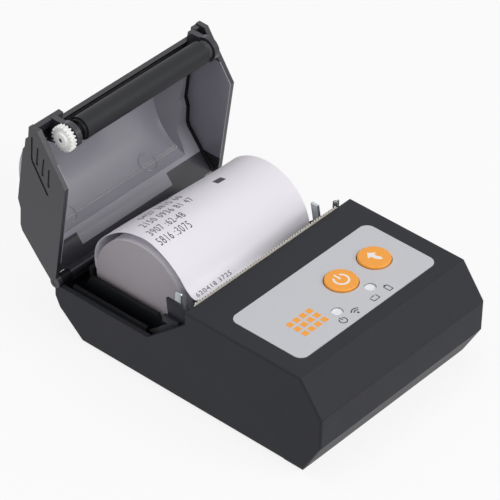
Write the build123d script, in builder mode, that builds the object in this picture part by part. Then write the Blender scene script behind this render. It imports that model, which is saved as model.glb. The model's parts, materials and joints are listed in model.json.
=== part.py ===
import math
import os

from build123d import *

# Overall body, in millimetres. X is the width, -Y the keypad end, +Y the hinge end.
width = 76.0
front_y = -53.0
body_length = 105.9
top_z = 34.6
parting_z = 17.0
foot_height = 0.8
wall = 1.8
gap = 0.3
edge_radius = 0.8

rear_y = front_y + body_length
half_width = width / 2
inner_half = half_width - wall
floor_z = foot_height + wall

# Outline of the two housings, seen from the side
nose_rise = 11.6
nose_run = 6.3
heel_run = 9.5
heel_rise = 8.1
heel_inset = 1.9
brow_rise = 6.2
brow_run = 8.5
mouth_y = -0.2
mouth_drop = 4.7
slant_end_y = 14.7

# Cover hinge
hinge_y = rear_y - 0.3
hinge_z = parting_z + 0.45
open_angle = 83.0
knuckle_radius = 1.5
ear_radius = 1.9
pin_radius = 0.8
pin_clearance = 0.05
hinge_boss_width = 3.9
hinge_boss_radius = 1.8

# Cover outline: height of its flat roof and radius of its roll bulge
roof_z = 35.3
cover_wall = 1.8
lip_y = 3.8
lip_left = -25.0
lip_right = 34.0
bulge_y = 26.3
bulge_z = 22.6
bulge_radius = 20.5
bulge_wall = 1.5
bulge_half = 29.8
bulge_taper_run = 4.8
bulge_taper_drop = 8.5

# Paper roll and the sheet drawn off it
paper_width = 57.5
roll_radius = 17.85
roll_y = 26.0
roll_z = 22.4
sheet_thickness = 0.15
paper_side_play = 1.25

# Platen roller
platen_y = 3.2
platen_z = 25.2
platen_radius = 3.85
platen_left = -24.7
platen_right = 29.1
shaft_radius = 1.5
shaft_clearance = 0.05
bush_radius = 3.0
bush_width = 2.0
arm_radius = 4.2
left_arm_x = -29.9
right_arm_x = 31.4

# Gear train, one module throughout
gear_module = 0.4
gear_left = -32.4
gear_width = 2.0
platen_teeth = 20
idler_teeth = 28
pinion_teeth = 12
idler_y = -2.6
idler_z = 17.4
pinion_y = -10.25
pinion_z = 14.75
idler_shaft_radius = 1.0
motor_shaft_radius = 0.75
motor_radius = 7.5
motor_length = 12.0
motor_plate_thickness = 0.8

# Print head
head_face_y = platen_y - platen_radius - gap
head_thickness = 0.5
head_low_z = 20.6
head_high_z = 29.6
head_half = 24.5
sink_thickness = 1.3
spring_radius = 1.4
spring_wire = 0.4
spring_length = 2.85
beam_depth = 3.6
bracket_thickness = 1.0
left_bracket_x = -27.4
right_bracket_x = 30.0
left_horn_z = 30.8
right_horn_z = 32.4

# Tear bar
tear_left = -33.7
tear_right = 31.7
tear_thickness = 0.5
tear_pitch = 1.2
tear_tooth = 0.9
tear_low_z = 30.0

# Keypad
overlay_half = 31.5
overlay_front = -39.6
overlay_back = -11.6
overlay_thickness = 0.45
overlay_recess = 0.4
overlay_corner = 3.0
button_radius = 5.25
button_clearance = 0.25
button_travel = 0.4
button_proud = 0.8
power_x = 4.4
power_y = -24.4
feed_x = 19.6
feed_y = -24.6
lamp_radius = 1.8
lamp_places = [(-7.1, -32.5), (8.4, -32.3)]
stem_radius = 2.0
flange_extra = 1.2

# Boards, battery and fastenings
board_thickness = 1.2
keypad_board_z = 29.4
main_board_z = parting_z + 0.2
battery_half = 26.0
battery_front = -44.5
battery_back = -21.0
battery_height = 11.4
door_half = 25.0
door_front = -38.5
door_back = -21.5
boss_x = 33.5
boss_front_y = -42.5
boss_back_y = -17.0
boss_radius = 2.6
screw_radius = 1.0
screw_head_radius = 1.9
screw_head_height = 1.4
socket_y = -30.0
socket_half = 3.75
socket_height = 2.6
socket_depth = 5.4
foot_x = 27.0
foot_y = 34.5
foot_half_length = 6.0
foot_half_width = 4.0
foot_seat = 0.6

tilt = math.radians(open_angle)
mouth_z = top_z - mouth_drop
underside_z = top_z - wall
panel_seat_z = top_z - overlay_recess
tray_half = paper_width / 2 + paper_side_play
tray_wall = 1.5


def side(x):
    """Plane across the body at width x: its own axes run along +Y and +Z."""
    return Plane(origin=(x, 0, 0), x_dir=(0, 1, 0), z_dir=(1, 0, 0))


def opened(y, z):
    """Where a point of the closed cover lies when the cover stands open."""
    dy, dz = y - hinge_y, z - hinge_z
    return (
        hinge_y + dy * math.cos(tilt) + dz * math.sin(tilt),
        hinge_z - dy * math.sin(tilt) + dz * math.cos(tilt),
    )


def cover_side(x):
    """As side(), for pieces of the open cover drawn where they lie when it is closed."""
    y, z = opened(0, 0)
    return Plane(origin=(x, y, z), x_dir=(0, math.cos(tilt), -math.sin(tilt)), z_dir=(1, 0, 0))


def write(piece, name):
    """Label a finished piece and write its file."""
    piece.part.label = name
    export_step(piece.part, f"parts/{name}.step")


def gear_outline(teeth, phase):
    """Points of a spur gear, with one tooth centred on the angle phase in degrees."""
    pitch_radius = gear_module * teeth / 2
    root = pitch_radius - 1.2 * gear_module
    tip = pitch_radius + 0.8 * gear_module
    step = 2 * math.pi / teeth
    points = []
    for tooth in range(teeth):
        middle = math.radians(phase) + tooth * step
        for radius, share in ((root, -0.34), (tip, -0.12), (tip, 0.12), (root, 0.34)):
            angle = middle + share * step
            points.append((radius * math.cos(angle), radius * math.sin(angle)))
    return points


def shifted(points, y, z):
    """Move outline points to a centre."""
    return [(a + y, b + z) for a, b in points]


os.makedirs("parts", exist_ok=True)

# Housing outlines
tray_outline = [
    (front_y, parting_z),
    (front_y, foot_height + nose_rise),
    (front_y + nose_run, foot_height),
    (rear_y - heel_inset - heel_run, foot_height),
    (rear_y - heel_inset, foot_height + heel_rise),
    (rear_y, foot_height + heel_rise + heel_inset * 2),
    (rear_y, parting_z),
]
tray_cavity = [
    (front_y, parting_z + 2 * wall),
    *tray_outline[1:-1],
    (rear_y, parting_z + 2 * wall),
]
brow_z = parting_z + brow_rise
lid_outline = [
    (front_y, parting_z),
    (front_y, brow_z),
    (front_y + brow_run, top_z),
    (mouth_y, top_z),
    (mouth_y, mouth_z),
    (slant_end_y, parting_z),
]
lid_cavity = [
    (front_y, parting_z - 3 * wall),
    (front_y, brow_z),
    (front_y + brow_run, top_z),
    (slant_end_y + 10, top_z),
    (slant_end_y + 10, parting_z - 3 * wall),
]
boss_places = [(x, y) for x in (-boss_x, boss_x) for y in (boss_front_y, boss_back_y)]
board_posts = [(x, y) for x in (-28.6, 28.6) for y in (-36.0, -23.5)]
leg_places = [(-14.0, -6.4), (26.0, -6.4)]
foot_places = [(-foot_x, foot_y), (foot_x, foot_y)]

# Lower housing: a tray with a ridge under its front edge
ridge_run = 7.4
rear_wall_z = hinge_z - knuckle_radius - gap
lip_rise = 1.2
lip_inner = inner_half - 1.3
door_step = 0.9
door_tab_half = 4.0
door_tab_run = 5.4
door_fit = 0.15
door_screw_y = door_back + 3.2
leg_boss_radius = 2.8
leg_boss_height = 4.0
door_screw_length = 5.0
with BuildPart() as lower_housing:
    with BuildSketch(side(-half_width)):
        with BuildLine():
            Polyline(*tray_outline, close=True)
        make_face()
    extrude(amount=width)
    fillet(lower_housing.edges().filter_by(Axis.X).group_by(Axis.Z)[0], edge_radius)
    outline_edges = lower_housing.edges().filter_by(
        lambda e: abs(abs(e.center().X) - half_width) < 0.01 and e.center().Z < parting_z - 0.1
    )
    fillet(outline_edges, edge_radius)
    with BuildSketch(side(-inner_half)):
        with BuildLine():
            Polyline(*tray_cavity, close=True)
        make_face()
        offset(amount=-wall, kind=Kind.INTERSECTION)
    extrude(amount=2 * inner_half, mode=Mode.SUBTRACT)
    # Ridge under the front edge
    with BuildSketch(Plane.XY):
        with Locations((0, front_y + nose_run + 0.6 + ridge_run / 2)):
            Rectangle(width - 2 * edge_radius - 0.4, ridge_run)
    extrude(amount=foot_height + 0.5)
    # Rear wall kept below the cover's knuckle
    with BuildSketch(Plane.XY.offset(rear_wall_z)):
        with Locations((0, rear_y)):
            Rectangle(2 * inner_half, 4 * wall)
    extrude(amount=10, mode=Mode.SUBTRACT)
    # Lips that stand inside the cover's side panels
    for mirror_x in (-1, 1):
        with BuildSketch(Plane.XY.offset(parting_z - 3)):
            with Locations((mirror_x * (lip_inner + inner_half) / 2, 32.0)):
                Rectangle(inner_half - lip_inner, 30.0)
        extrude(amount=3)
        with BuildSketch(Plane.XY.offset(parting_z)):
            with Locations((mirror_x * (lip_inner + inner_half - gap) / 2, 32.0)):
                Rectangle(inner_half - gap - lip_inner, 30.0)
        extrude(amount=lip_rise)
    # Blocks that carry the hinge pins
    for mirror_x in (-1, 1):
        block_x = inner_half - gap - hinge_boss_width if mirror_x > 0 else -(inner_half - gap)
        with BuildSketch(side(block_x)):
            with Locations((hinge_y, hinge_z)):
                Circle(hinge_boss_radius)
            with Locations((hinge_y - hinge_boss_radius + 1.2, hinge_z - 4.0)):
                Rectangle(2.4, 8.0)
        extrude(amount=hinge_boss_width)
    # Room for the cover's ears, and the pin bores
    for x in (-half_width - 1, inner_half - gap):
        with BuildSketch(side(x)):
            with Locations((hinge_y, hinge_z)):
                Circle(ear_radius + gap)
        extrude(amount=wall + gap + 1, mode=Mode.SUBTRACT)
    with BuildSketch(side(-half_width)):
        with Locations((hinge_y, hinge_z)):
            Circle(pin_radius)
    extrude(amount=width, mode=Mode.SUBTRACT)
    # Screw bosses, board posts and the print head's bosses
    with BuildSketch(Plane.XY.offset(foot_height + 0.5)):
        with Locations(*boss_places):
            Circle(boss_radius + 0.4)
    extrude(amount=parting_z - foot_height - 0.5)
    with BuildSketch(Plane.XY.offset(foot_height + 0.5)):
        with Locations(*board_posts):
            Circle(1.6)
    extrude(amount=main_board_z - foot_height - 0.5)
    with BuildSketch(Plane.XY.offset(foot_height + 0.5)):
        with Locations(*leg_places):
            Circle(leg_boss_radius)
    extrude(amount=floor_z + leg_boss_height - foot_height - 0.5)
    with BuildSketch(Plane.XY.offset(floor_z - 0.5)):
        with Locations((0, door_screw_y)):
            Circle(2.3)
    extrude(amount=6.5)
    with BuildSketch(Plane.XY.offset(foot_height)):
        with Locations(*boss_places):
            Circle(screw_radius + 0.15)
    extrude(amount=parting_z, mode=Mode.SUBTRACT)
    with BuildSketch(Plane.XY.offset(foot_height)):
        with Locations(*boss_places):
            Circle(screw_head_radius + 0.2)
    extrude(amount=2.4, mode=Mode.SUBTRACT)
    with BuildSketch(Plane.XY.offset(floor_z + 0.5)):
        with Locations(*leg_places):
            Circle(screw_radius)
    extrude(amount=leg_boss_height, mode=Mode.SUBTRACT)
    with BuildSketch(Plane.XY.offset(foot_height)):
        with Locations((0, door_screw_y)):
            Circle(screw_radius)
    extrude(amount=door_screw_length + 0.5, mode=Mode.SUBTRACT)
    # Battery ribs and the stepped door opening
    for x in (-battery_half - 0.6, battery_half + 0.6):
        with BuildSketch(Plane.XY.offset(floor_z - 0.5)):
            with Locations((x, (battery_front + battery_back) / 2 + 1)):
                Rectangle(0.9, battery_back - battery_front - 4)
        extrude(amount=5.5)
    with BuildSketch(Plane.XY.offset(foot_height)):
        with Locations((0, (door_front + door_back) / 2)):
            Rectangle(2 * (door_half + door_fit), door_back - door_front + 2 * door_fit)
        with Locations((0, door_back + door_tab_run / 2)):
            Rectangle(2 * (door_tab_half + door_fit), door_tab_run + 2 * door_fit)
    extrude(amount=door_step, mode=Mode.SUBTRACT)
    with BuildSketch(Plane.XY.offset(foot_height)):
        with Locations((0, (door_front + door_back) / 2)):
            Rectangle(2 * (door_half - 1.2 + door_fit), door_back - door_front - 2.4 + 2 * door_fit)
    extrude(amount=wall, mode=Mode.SUBTRACT)
    # Seats for the rear feet
    with BuildSketch(Plane.XY.offset(foot_height)):
        with Locations(*foot_places):
            RectangleRounded(2 * foot_half_length, 2 * foot_half_width, 1.5)
    extrude(amount=foot_seat, mode=Mode.SUBTRACT)
write(lower_housing, "lower_housing")

# Upper housing: keypad deck, sloping front and the two cheeks beside the paper mouth
flange_run = 2.2
with BuildPart() as upper_housing:
    with BuildSketch(side(-half_width)):
        with BuildLine():
            Polyline(*lid_outline, close=True)
        make_face()
    extrude(amount=width)
    deck_edges = upper_housing.edges().filter_by(
        lambda e: (abs(abs(e.center().X) - half_width) < 0.01 or e.center().Y < front_y + brow_run + 0.1)
        and e.center().Z > parting_z + 0.1
        and e.center().Y < mouth_y - 0.1
    )
    fillet(deck_edges, edge_radius)
    with BuildSketch(side(-inner_half)):
        with BuildLine():
            Polyline(*lid_cavity, close=True)
        make_face()
        offset(amount=-wall, kind=Kind.INTERSECTION)
    extrude(amount=2 * inner_half, mode=Mode.SUBTRACT)
    # Flanges inside the cheeks, which stand behind the cover's slanted edges
    for mirror_x in (-1, 1):
        inner_x = lip_inner if mirror_x > 0 else -inner_half
        with BuildSketch(side(inner_x)):
            with BuildLine():
                Polyline(
                    (slant_end_y - 3.0, parting_z),
                    (slant_end_y, parting_z),
                    (mouth_y + 4.6, mouth_z - 4.0),
                    (mouth_y + 1.6, mouth_z - 4.0),
                    close=True,
                )
            make_face()
        extrude(amount=inner_half - lip_inner)
        edge_x = lip_inner if mirror_x > 0 else -(inner_half - gap)
        with BuildSketch(side(edge_x)):
            with BuildLine():
                Polyline(
                    (slant_end_y - 1.0, parting_z + 0.8),
                    (slant_end_y + flange_run - 0.9, parting_z + 0.8),
                    (mouth_y + 4.6 + flange_run, mouth_z - 4.0),
                    (mouth_y + 3.4, mouth_z - 4.0),
                    close=True,
                )
            make_face()
        extrude(amount=inner_half - gap - lip_inner)
    # Keypad seat, button holes and lamp holes
    with BuildSketch(Plane.XY.offset(panel_seat_z)):
        with Locations((0, (overlay_front + overlay_back) / 2)):
            RectangleRounded(2 * overlay_half + 0.3, overlay_back - overlay_front + 0.3, overlay_corner)
    extrude(amount=5, mode=Mode.SUBTRACT)
    with BuildSketch(Plane.XY.offset(underside_z - 1)):
        with Locations((power_x, power_y), (feed_x, feed_y)):
            Circle(button_radius + button_clearance)
        with Locations(*lamp_places):
            Circle(lamp_radius)
    extrude(amount=5, mode=Mode.SUBTRACT)
    # Screw bosses and the keypad board's posts
    with BuildSketch(Plane.XY.offset(parting_z)):
        with Locations(*boss_places):
            Circle(boss_radius)
    extrude(amount=underside_z + 0.4 - parting_z)
    keypad_posts = [(x, y) for x in (-27.0, 27.0) for y in (-14.0, -37.0)]
    with BuildSketch(Plane.XY.offset(keypad_board_z + board_thickness)):
        with Locations(*keypad_posts):
            Circle(1.8)
    extrude(amount=underside_z + 0.4 - keypad_board_z - board_thickness)
    with BuildSketch(Plane.XY.offset(parting_z)):
        with Locations(*boss_places):
            Circle(screw_radius)
    extrude(amount=9.0, mode=Mode.SUBTRACT)
    # Opening for the charging socket
    with BuildSketch(side(inner_half - 1)):
        with Locations((socket_y, main_board_z + board_thickness + socket_height / 2)):
            RectangleRounded(2 * socket_half + 0.6, socket_height + 0.6, 0.9)
    extrude(amount=4, mode=Mode.SUBTRACT)
write(upper_housing, "upper_housing")

# Paper tray: a curved trough between two side walls that stand on the floor
trough_radius = roll_radius + 2.5 * gap
trough_z = roll_z + 1.5 * gap
trough_wall = 1.2
tray_rim_z = parting_z + 3.5
tray_front_y = 8.0
with BuildPart() as paper_tray:
    with BuildSketch(side(-tray_half)):
        with Locations((roll_y, trough_z)):
            Circle(trough_radius + trough_wall)
            Circle(trough_radius, mode=Mode.SUBTRACT)
        with Locations((roll_y, trough_z + 15)):
            Rectangle(60, 30, mode=Mode.SUBTRACT)
        with Locations((tray_front_y - 5, parting_z)):
            Rectangle(10, 14, mode=Mode.SUBTRACT)
        with Locations((roll_y - trough_radius - 0.2, trough_z)):
            Rectangle(4, 12, mode=Mode.SUBTRACT)
    extrude(amount=2 * tray_half)
    for x in (-tray_half - tray_wall, tray_half):
        with BuildSketch(side(x)):
            with BuildLine():
                Polyline(
                    (tray_front_y, floor_z),
                    (rear_y - heel_inset - heel_run - 1.0, floor_z),
                    (rear_y - 7.2, floor_z + 4.6),
                    (rear_y - 7.2, parting_z),
                    (rear_y - 9.0, tray_rim_z),
                    (17.0, tray_rim_z),
                    (12.4, parting_z - 1.0),
                    (tray_front_y, parting_z - 1.0),
                    close=True,
                )
            make_face()
        extrude(amount=tray_wall)
    # Shelf for the paper sensor
    with BuildSketch(Plane.XY.offset(parting_z - 2.2)):
        with Locations((0, tray_front_y - 1.2)):
            Rectangle(2 * tray_half - 6, 4.0)
    extrude(amount=1.2)
write(paper_tray, "paper_tray")

# Top cover, drawn closed and stood open by its planes
cover_front = mouth_y + 0.5
cover_low_z = parting_z + gap
cover_outline = [
    (slant_end_y + 0.3, cover_low_z),
    (cover_front, mouth_z + 0.4),
    (cover_front + 0.3, roof_z - 1.5),
    (cover_front + 4.1, roof_z - 1.7),
    (cover_front + 5.5, roof_z - 0.7),
    (cover_front + 8.5, roof_z - 0.7),
    (cover_front + 10.0, roof_z),
    (30.0, roof_z),
    (33.2, roof_z - 1.4),
    (39.3, roof_z - 2.0),
    (41.2, roof_z - 2.9),
    (48.6, 24.1),
    (rear_y + 0.7, hinge_z + 0.65),
    (hinge_y, hinge_z),
    (hinge_y - 4.0, cover_low_z),
]
cover_hollow = [
    (-5.0, 5.0),
    (-5.0, roof_z - 3.4),
    (cover_front + 3.4, roof_z - 3.4),
    (cover_front + 4.8, roof_z - 2.4),
    (cover_front + 8.2, roof_z - 2.4),
    (cover_front + 9.7, roof_z - 1.8),
    (29.6, roof_z - 1.8),
    (32.7, roof_z - 3.2),
    (38.5, roof_z - 3.8),
    (39.9, roof_z - 4.5),
    (46.9, 23.6),
    (rear_y - 1.7, hinge_z + 1.2),
    (hinge_y - 1.9, 5.0),
]
bulge_plane = Plane(
    origin=(0, *opened(bulge_y, bulge_z)),
    x_dir=(1, 0, 0),
    z_dir=(0, -math.cos(tilt), math.sin(tilt)),
)
bulge_axis = Axis((0, *opened(bulge_y, bulge_z)), (1, 0, 0))
bulge_end = bulge_half + bulge_taper_run
with BuildPart() as bulge_core:
    with BuildSketch(bulge_plane):
        with BuildLine():
            Polyline(
                (-bulge_end + 1.8, 0),
                (-bulge_end + 1.8, bulge_radius - bulge_taper_drop - 1.2),
                (-bulge_half + 0.8, bulge_radius - bulge_wall),
                (bulge_half - 0.8, bulge_radius - bulge_wall),
                (bulge_end - 1.8, bulge_radius - bulge_taper_drop - 1.2),
                (bulge_end - 1.8, 0),
                close=True,
            )
        make_face()
    revolve(axis=bulge_axis)
with BuildPart() as bulge_skin:
    with BuildSketch(bulge_plane):
        with BuildLine():
            Polyline(
                (-bulge_end, 0),
                (-bulge_end, bulge_radius - bulge_taper_drop),
                (-bulge_half, bulge_radius),
                (bulge_half, bulge_radius),
                (bulge_end, bulge_radius - bulge_taper_drop),
                (bulge_end, 0),
                close=True,
            )
        make_face()
    revolve(axis=bulge_axis)
    # Only what stands above the roof and the sloping back is kept
    with BuildSketch(cover_side(-half_width)):
        with BuildLine():
            Polyline((-30, -30), (-30, 30), (50, 30), (44, 26), (44, -30), close=True)
        make_face()
    extrude(amount=width, mode=Mode.SUBTRACT)
grip_rows = [
    ((6.1, 29.3), (12.7, 29.1)),
    ((8.7, 26.6), (15.4, 26.6)),
    ((11.4, 24.2), (18.1, 23.8)),
    ((3.6, 32.0), (12.1, 31.3)),
    ((12.1, 31.3), (21.3, 23.7)),
]
grip_depth = 0.35
with BuildPart() as top_cover:
    with BuildSketch(cover_side(-half_width)):
        with BuildLine():
            Polyline(*cover_outline, close=True)
        make_face()
    extrude(amount=width)
    with BuildSketch(cover_side(-half_width)):
        with Locations((hinge_y, hinge_z)):
            Circle(ear_radius)
    extrude(amount=wall)
    with BuildSketch(cover_side(inner_half)):
        with Locations((hinge_y, hinge_z)):
            Circle(ear_radius)
    extrude(amount=wall)
    add(bulge_skin.part)
    with BuildSketch(cover_side(-inner_half)):
        with BuildLine():
            Polyline(*cover_hollow, close=True)
        make_face()
    extrude(amount=2 * inner_half, mode=Mode.SUBTRACT)
    add(bulge_core.part, mode=Mode.SUBTRACT)
    # The lip is set back between the two side tabs
    with BuildSketch(cover_side(lip_left)):
        with Locations((lip_y - 5, roof_z - 3)):
            Rectangle(10, 8)
    extrude(amount=lip_right - lip_left, mode=Mode.SUBTRACT)
    with BuildSketch(cover_side(-inner_half)):
        with Locations((0.95 - 5, roof_z - 3)):
            Rectangle(10, 8)
    extrude(amount=2 * inner_half, mode=Mode.SUBTRACT)
    # Round knuckle along the back edge, stopped short of the pin blocks
    knuckle_half = inner_half - gap - hinge_boss_width - gap
    with BuildSketch(cover_side(-knuckle_half)):
        with Locations((hinge_y, hinge_z)):
            Circle(knuckle_radius)
    extrude(amount=2 * knuckle_half)
    for x in (-inner_half, knuckle_half):
        with BuildSketch(cover_side(x)):
            with Locations((hinge_y, hinge_z)):
                Circle(hinge_boss_radius + gap)
        extrude(amount=inner_half - knuckle_half, mode=Mode.SUBTRACT)
    # Arms that carry the platen
    for x in (left_arm_x, right_arm_x):
        with BuildSketch(cover_side(x)):
            with Locations((platen_y, platen_z)):
                Circle(arm_radius)
            with BuildLine():
                Polyline(
                    (platen_y - arm_radius + 0.8, platen_z),
                    (platen_y - arm_radius + 1.8, roof_z - 2.6),
                    (platen_y + 7.0, roof_z - 2.2),
                    (platen_y + arm_radius, platen_z),
                    close=True,
                )
            make_face()
        extrude(amount=bush_width)
        with BuildSketch(cover_side(x)):
            with Locations((platen_y, platen_z)):
                Circle(bush_radius)
        extrude(amount=bush_width, mode=Mode.SUBTRACT)
    # Pin bores and finger grips
    with BuildSketch(cover_side(-half_width)):
        with Locations((hinge_y, hinge_z)):
            Circle(pin_radius + pin_clearance)
    extrude(amount=width, mode=Mode.SUBTRACT)
    for x in (-half_width, half_width - grip_depth):
        for start, end in grip_rows:
            with BuildSketch(cover_side(x)):
                middle = ((start[0] + end[0]) / 2, (start[1] + end[1]) / 2)
                run = math.dist(start, end)
                turn = math.degrees(math.atan2(end[1] - start[1], end[0] - start[0]))
                with Locations(Location((middle[0], middle[1], 0), (0, 0, turn))):
                    SlotOverall(run, 0.9)
            extrude(amount=grip_depth, mode=Mode.SUBTRACT)
write(top_cover, "top_cover")

# Hinge pins, held in the lower housing's blocks
with BuildPart() as hinge_pins:
    for x in (-half_width + 0.1, inner_half - gap - hinge_boss_width):
        with BuildSketch(side(x)):
            with Locations((hinge_y, hinge_z)):
                Circle(pin_radius)
        extrude(amount=wall + gap + hinge_boss_width - 0.1)
write(hinge_pins, "hinge_pins")

# Rear feet
with BuildPart() as rubber_feet:
    with BuildSketch(Plane.XY):
        with Locations(*foot_places):
            RectangleRounded(2 * foot_half_length - 0.2, 2 * foot_half_width - 0.2, 1.4)
    extrude(amount=foot_height + foot_seat)
write(rubber_feet, "rubber_feet")

# Screws, heads down, that join the housings and hold the battery door
with BuildPart() as housing_screws:
    screw_head_low_z = foot_height + 2.4 - screw_head_height
    with BuildSketch(Plane.XY.offset(screw_head_low_z)):
        with Locations(*boss_places):
            Circle(screw_head_radius)
    extrude(amount=screw_head_height)
    with BuildSketch(Plane.XY.offset(screw_head_low_z + screw_head_height)):
        with Locations(*boss_places):
            Circle(screw_radius)
    extrude(amount=parting_z + 7.0 - screw_head_low_z - screw_head_height)
    with BuildSketch(Plane.XY.offset(screw_head_low_z)):
        with Locations(*boss_places):
            Rectangle(2.4, 0.5)
            Rectangle(0.5, 2.4)
    extrude(amount=0.6, mode=Mode.SUBTRACT)
write(housing_screws, "housing_screws")

with BuildPart() as door_screw:
    with BuildSketch(Plane.XY.offset(foot_height - 0.3)):
        with Locations((0, door_screw_y)):
            Circle(screw_head_radius)
    extrude(amount=0.8)
    with BuildSketch(Plane.XY.offset(foot_height + 0.5)):
        with Locations((0, door_screw_y)):
            Circle(screw_radius)
    extrude(amount=door_screw_length)
    with BuildSketch(Plane.XY.offset(foot_height - 0.3)):
        with Locations((0, door_screw_y)):
            Rectangle(2.4, 0.5)
            Rectangle(0.5, 2.4)
    extrude(amount=0.4, mode=Mode.SUBTRACT)
write(door_screw, "door_screw")

# Battery door, flush with the underside
with BuildPart() as battery_door:
    with BuildSketch(Plane.XY.offset(foot_height)):
        with Locations((0, (door_front + door_back) / 2)):
            Rectangle(2 * door_half, door_back - door_front)
        with Locations((0, door_back + door_tab_run / 2)):
            Rectangle(2 * door_tab_half, door_tab_run)
    extrude(amount=door_step)
    with BuildSketch(Plane.XY.offset(foot_height + door_step)):
        with Locations((0, (door_front + door_back) / 2)):
            Rectangle(2 * (door_half - 1.2), door_back - door_front - 2.4)
    extrude(amount=wall - door_step)
    with BuildSketch(Plane.XY.offset(foot_height)):
        with Locations((0, door_screw_y)):
            Circle(screw_head_radius + 0.15)
    extrude(amount=0.5, mode=Mode.SUBTRACT)
    with BuildSketch(Plane.XY.offset(foot_height)):
        with Locations((0, door_screw_y)):
            Circle(screw_radius + 0.1)
    extrude(amount=door_step, mode=Mode.SUBTRACT)
    # Thumb ridges
    with BuildSketch(Plane.XY.offset(foot_height)):
        for step in range(4):
            with Locations((0, door_front + 3.0 + 1.4 * step)):
                SlotOverall(14, 0.6)
    extrude(amount=0.3, mode=Mode.SUBTRACT)
write(battery_door, "battery_door")

# Battery and the contacts that link it to the main board
battery_top = floor_z + battery_height
with BuildPart() as battery_pack:
    with BuildSketch(Plane.XY.offset(floor_z)):
        with Locations((0, (battery_front + battery_back) / 2)):
            RectangleRounded(2 * battery_half, battery_back - battery_front, 2.0)
    extrude(amount=battery_height)
write(battery_pack, "battery_pack")

with BuildPart() as battery_contacts:
    for x in (-18.0, -14.0, -10.0):
        with BuildSketch(side(x)):
            with BuildLine():
                Polyline(
                    (battery_back - 6.0, battery_top),
                    (battery_back - 3.0, battery_top),
                    (battery_back - 1.6, main_board_z - 0.4),
                    (battery_back - 0.2, main_board_z - 0.4),
                    (battery_back - 0.2, main_board_z),
                    (battery_back - 1.9, main_board_z),
                    (battery_back - 3.3, battery_top + 0.4),
                    (battery_back - 6.0, battery_top + 0.4),
                    close=True,
                )
            make_face()
        extrude(amount=2.0)
write(battery_contacts, "battery_contacts")

# Main board, its radio module, charging socket and connector
board_half = 30.3
board_front = -48.0
board_back = -20.4
board_top = main_board_z + board_thickness
with BuildPart() as main_board:
    with BuildSketch(Plane.XY.offset(main_board_z)):
        with Locations((0, (board_front + board_back) / 2)):
            Rectangle(2 * board_half, board_back - board_front)
        with Locations((board_half + 1.5, socket_y)):
            Rectangle(5.0, 2 * socket_half + 1)
    extrude(amount=board_thickness)
    with BuildSketch(Plane.XY.offset(board_top)):
        with Locations((-10, -29), (8, -36)):
            Rectangle(9, 9)
        with Locations((-2, -42), (20, -28), (20, -42)):
            Rectangle(5, 4)
        with Locations((-22, -44), (-17, -44), (-22, -40), (-17, -40)):
            Rectangle(2, 1.2)
    extrude(amount=1.0)
    with BuildSketch(Plane.XY.offset(main_board_z)):
        with Locations(*board_posts):
            Circle(screw_radius)
    extrude(amount=board_thickness, mode=Mode.SUBTRACT)
write(main_board, "main_board")

with BuildPart() as radio_module:
    with BuildSketch(Plane.XY.offset(board_top)):
        with Locations((-21.0, -33.0)):
            Rectangle(9, 12)
    extrude(amount=0.8)
    with BuildSketch(Plane.XY.offset(board_top + 0.8)):
        with Locations((-21.0, -34.5)):
            Rectangle(7.8, 8)
    extrude(amount=1.4)
write(radio_module, "radio_module")

socket_x = half_width - 0.5
with BuildPart() as charging_socket:
    with BuildSketch(side(socket_x - socket_depth)):
        with Locations((socket_y, board_top + socket_height / 2)):
            RectangleRounded(2 * socket_half, socket_height, 0.7)
    extrude(amount=socket_depth)
    with BuildSketch(side(socket_x - socket_depth + 0.8)):
        with Locations((socket_y, board_top + socket_height / 2)):
            RectangleRounded(2 * socket_half - 0.7, socket_height - 0.7, 0.5)
    extrude(amount=socket_depth, mode=Mode.SUBTRACT)
    with BuildSketch(side(socket_x - socket_depth + 0.8)):
        with Locations((socket_y, board_top + socket_height / 2)):
            Rectangle(4.6, 0.5)
    extrude(amount=socket_depth - 1.4)
write(charging_socket, "charging_socket")

with BuildPart() as board_screws:
    for x, y in board_posts:
        with BuildSketch(Plane.XY.offset(board_top)):
            with Locations((x, y)):
                Circle(1.7)
        extrude(amount=1.1)
write(board_screws, "board_screws")

# Keypad board with its switches and lamps
with BuildPart() as keypad_board:
    with BuildSketch(Plane.XY.offset(keypad_board_z)):
        with Locations((0, (overlay_front + overlay_back) / 2)):
            Rectangle(60.0, overlay_back - overlay_front - 0.8)
    extrude(amount=board_thickness)
write(keypad_board, "keypad_board")

button_flange_top = underside_z - 0.3
button_flange_low = button_flange_top - 0.7
keypad_top = keypad_board_z + board_thickness
switch_body_top = keypad_top + 0.7
plunger_top = button_flange_low - button_travel - 0.1
with BuildPart() as tact_switches:
    with BuildSketch(Plane.XY.offset(keypad_top)):
        with Locations((power_x, power_y), (feed_x, feed_y)):
            Rectangle(5.0, 5.0)
    extrude(amount=plunger_top - 0.3 - keypad_top)
    with BuildSketch(Plane.XY.offset(keypad_top)):
        with Locations((power_x, power_y), (feed_x, feed_y)):
            Circle(1.6)
    extrude(amount=plunger_top - keypad_top)
write(tact_switches, "tact_switches")

with BuildPart() as status_leds:
    with BuildSketch(Plane.XY.offset(keypad_top)):
        with Locations(*lamp_places):
            Rectangle(1.6, 2.4)
    extrude(amount=0.7)
write(status_leds, "status_leds")

overlay_top = panel_seat_z + overlay_thickness
with BuildPart() as light_pipes:
    with BuildSketch(Plane.XY.offset(switch_body_top + gap)):
        with Locations(*lamp_places):
            Circle(lamp_radius - 0.05)
    extrude(amount=panel_seat_z - switch_body_top - gap)
    with BuildSketch(Plane.XY.offset(underside_z - 0.5)):
        with Locations(*lamp_places):
            Circle(lamp_radius + 0.6)
    extrude(amount=0.5)
write(light_pipes, "light_pipes")

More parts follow.
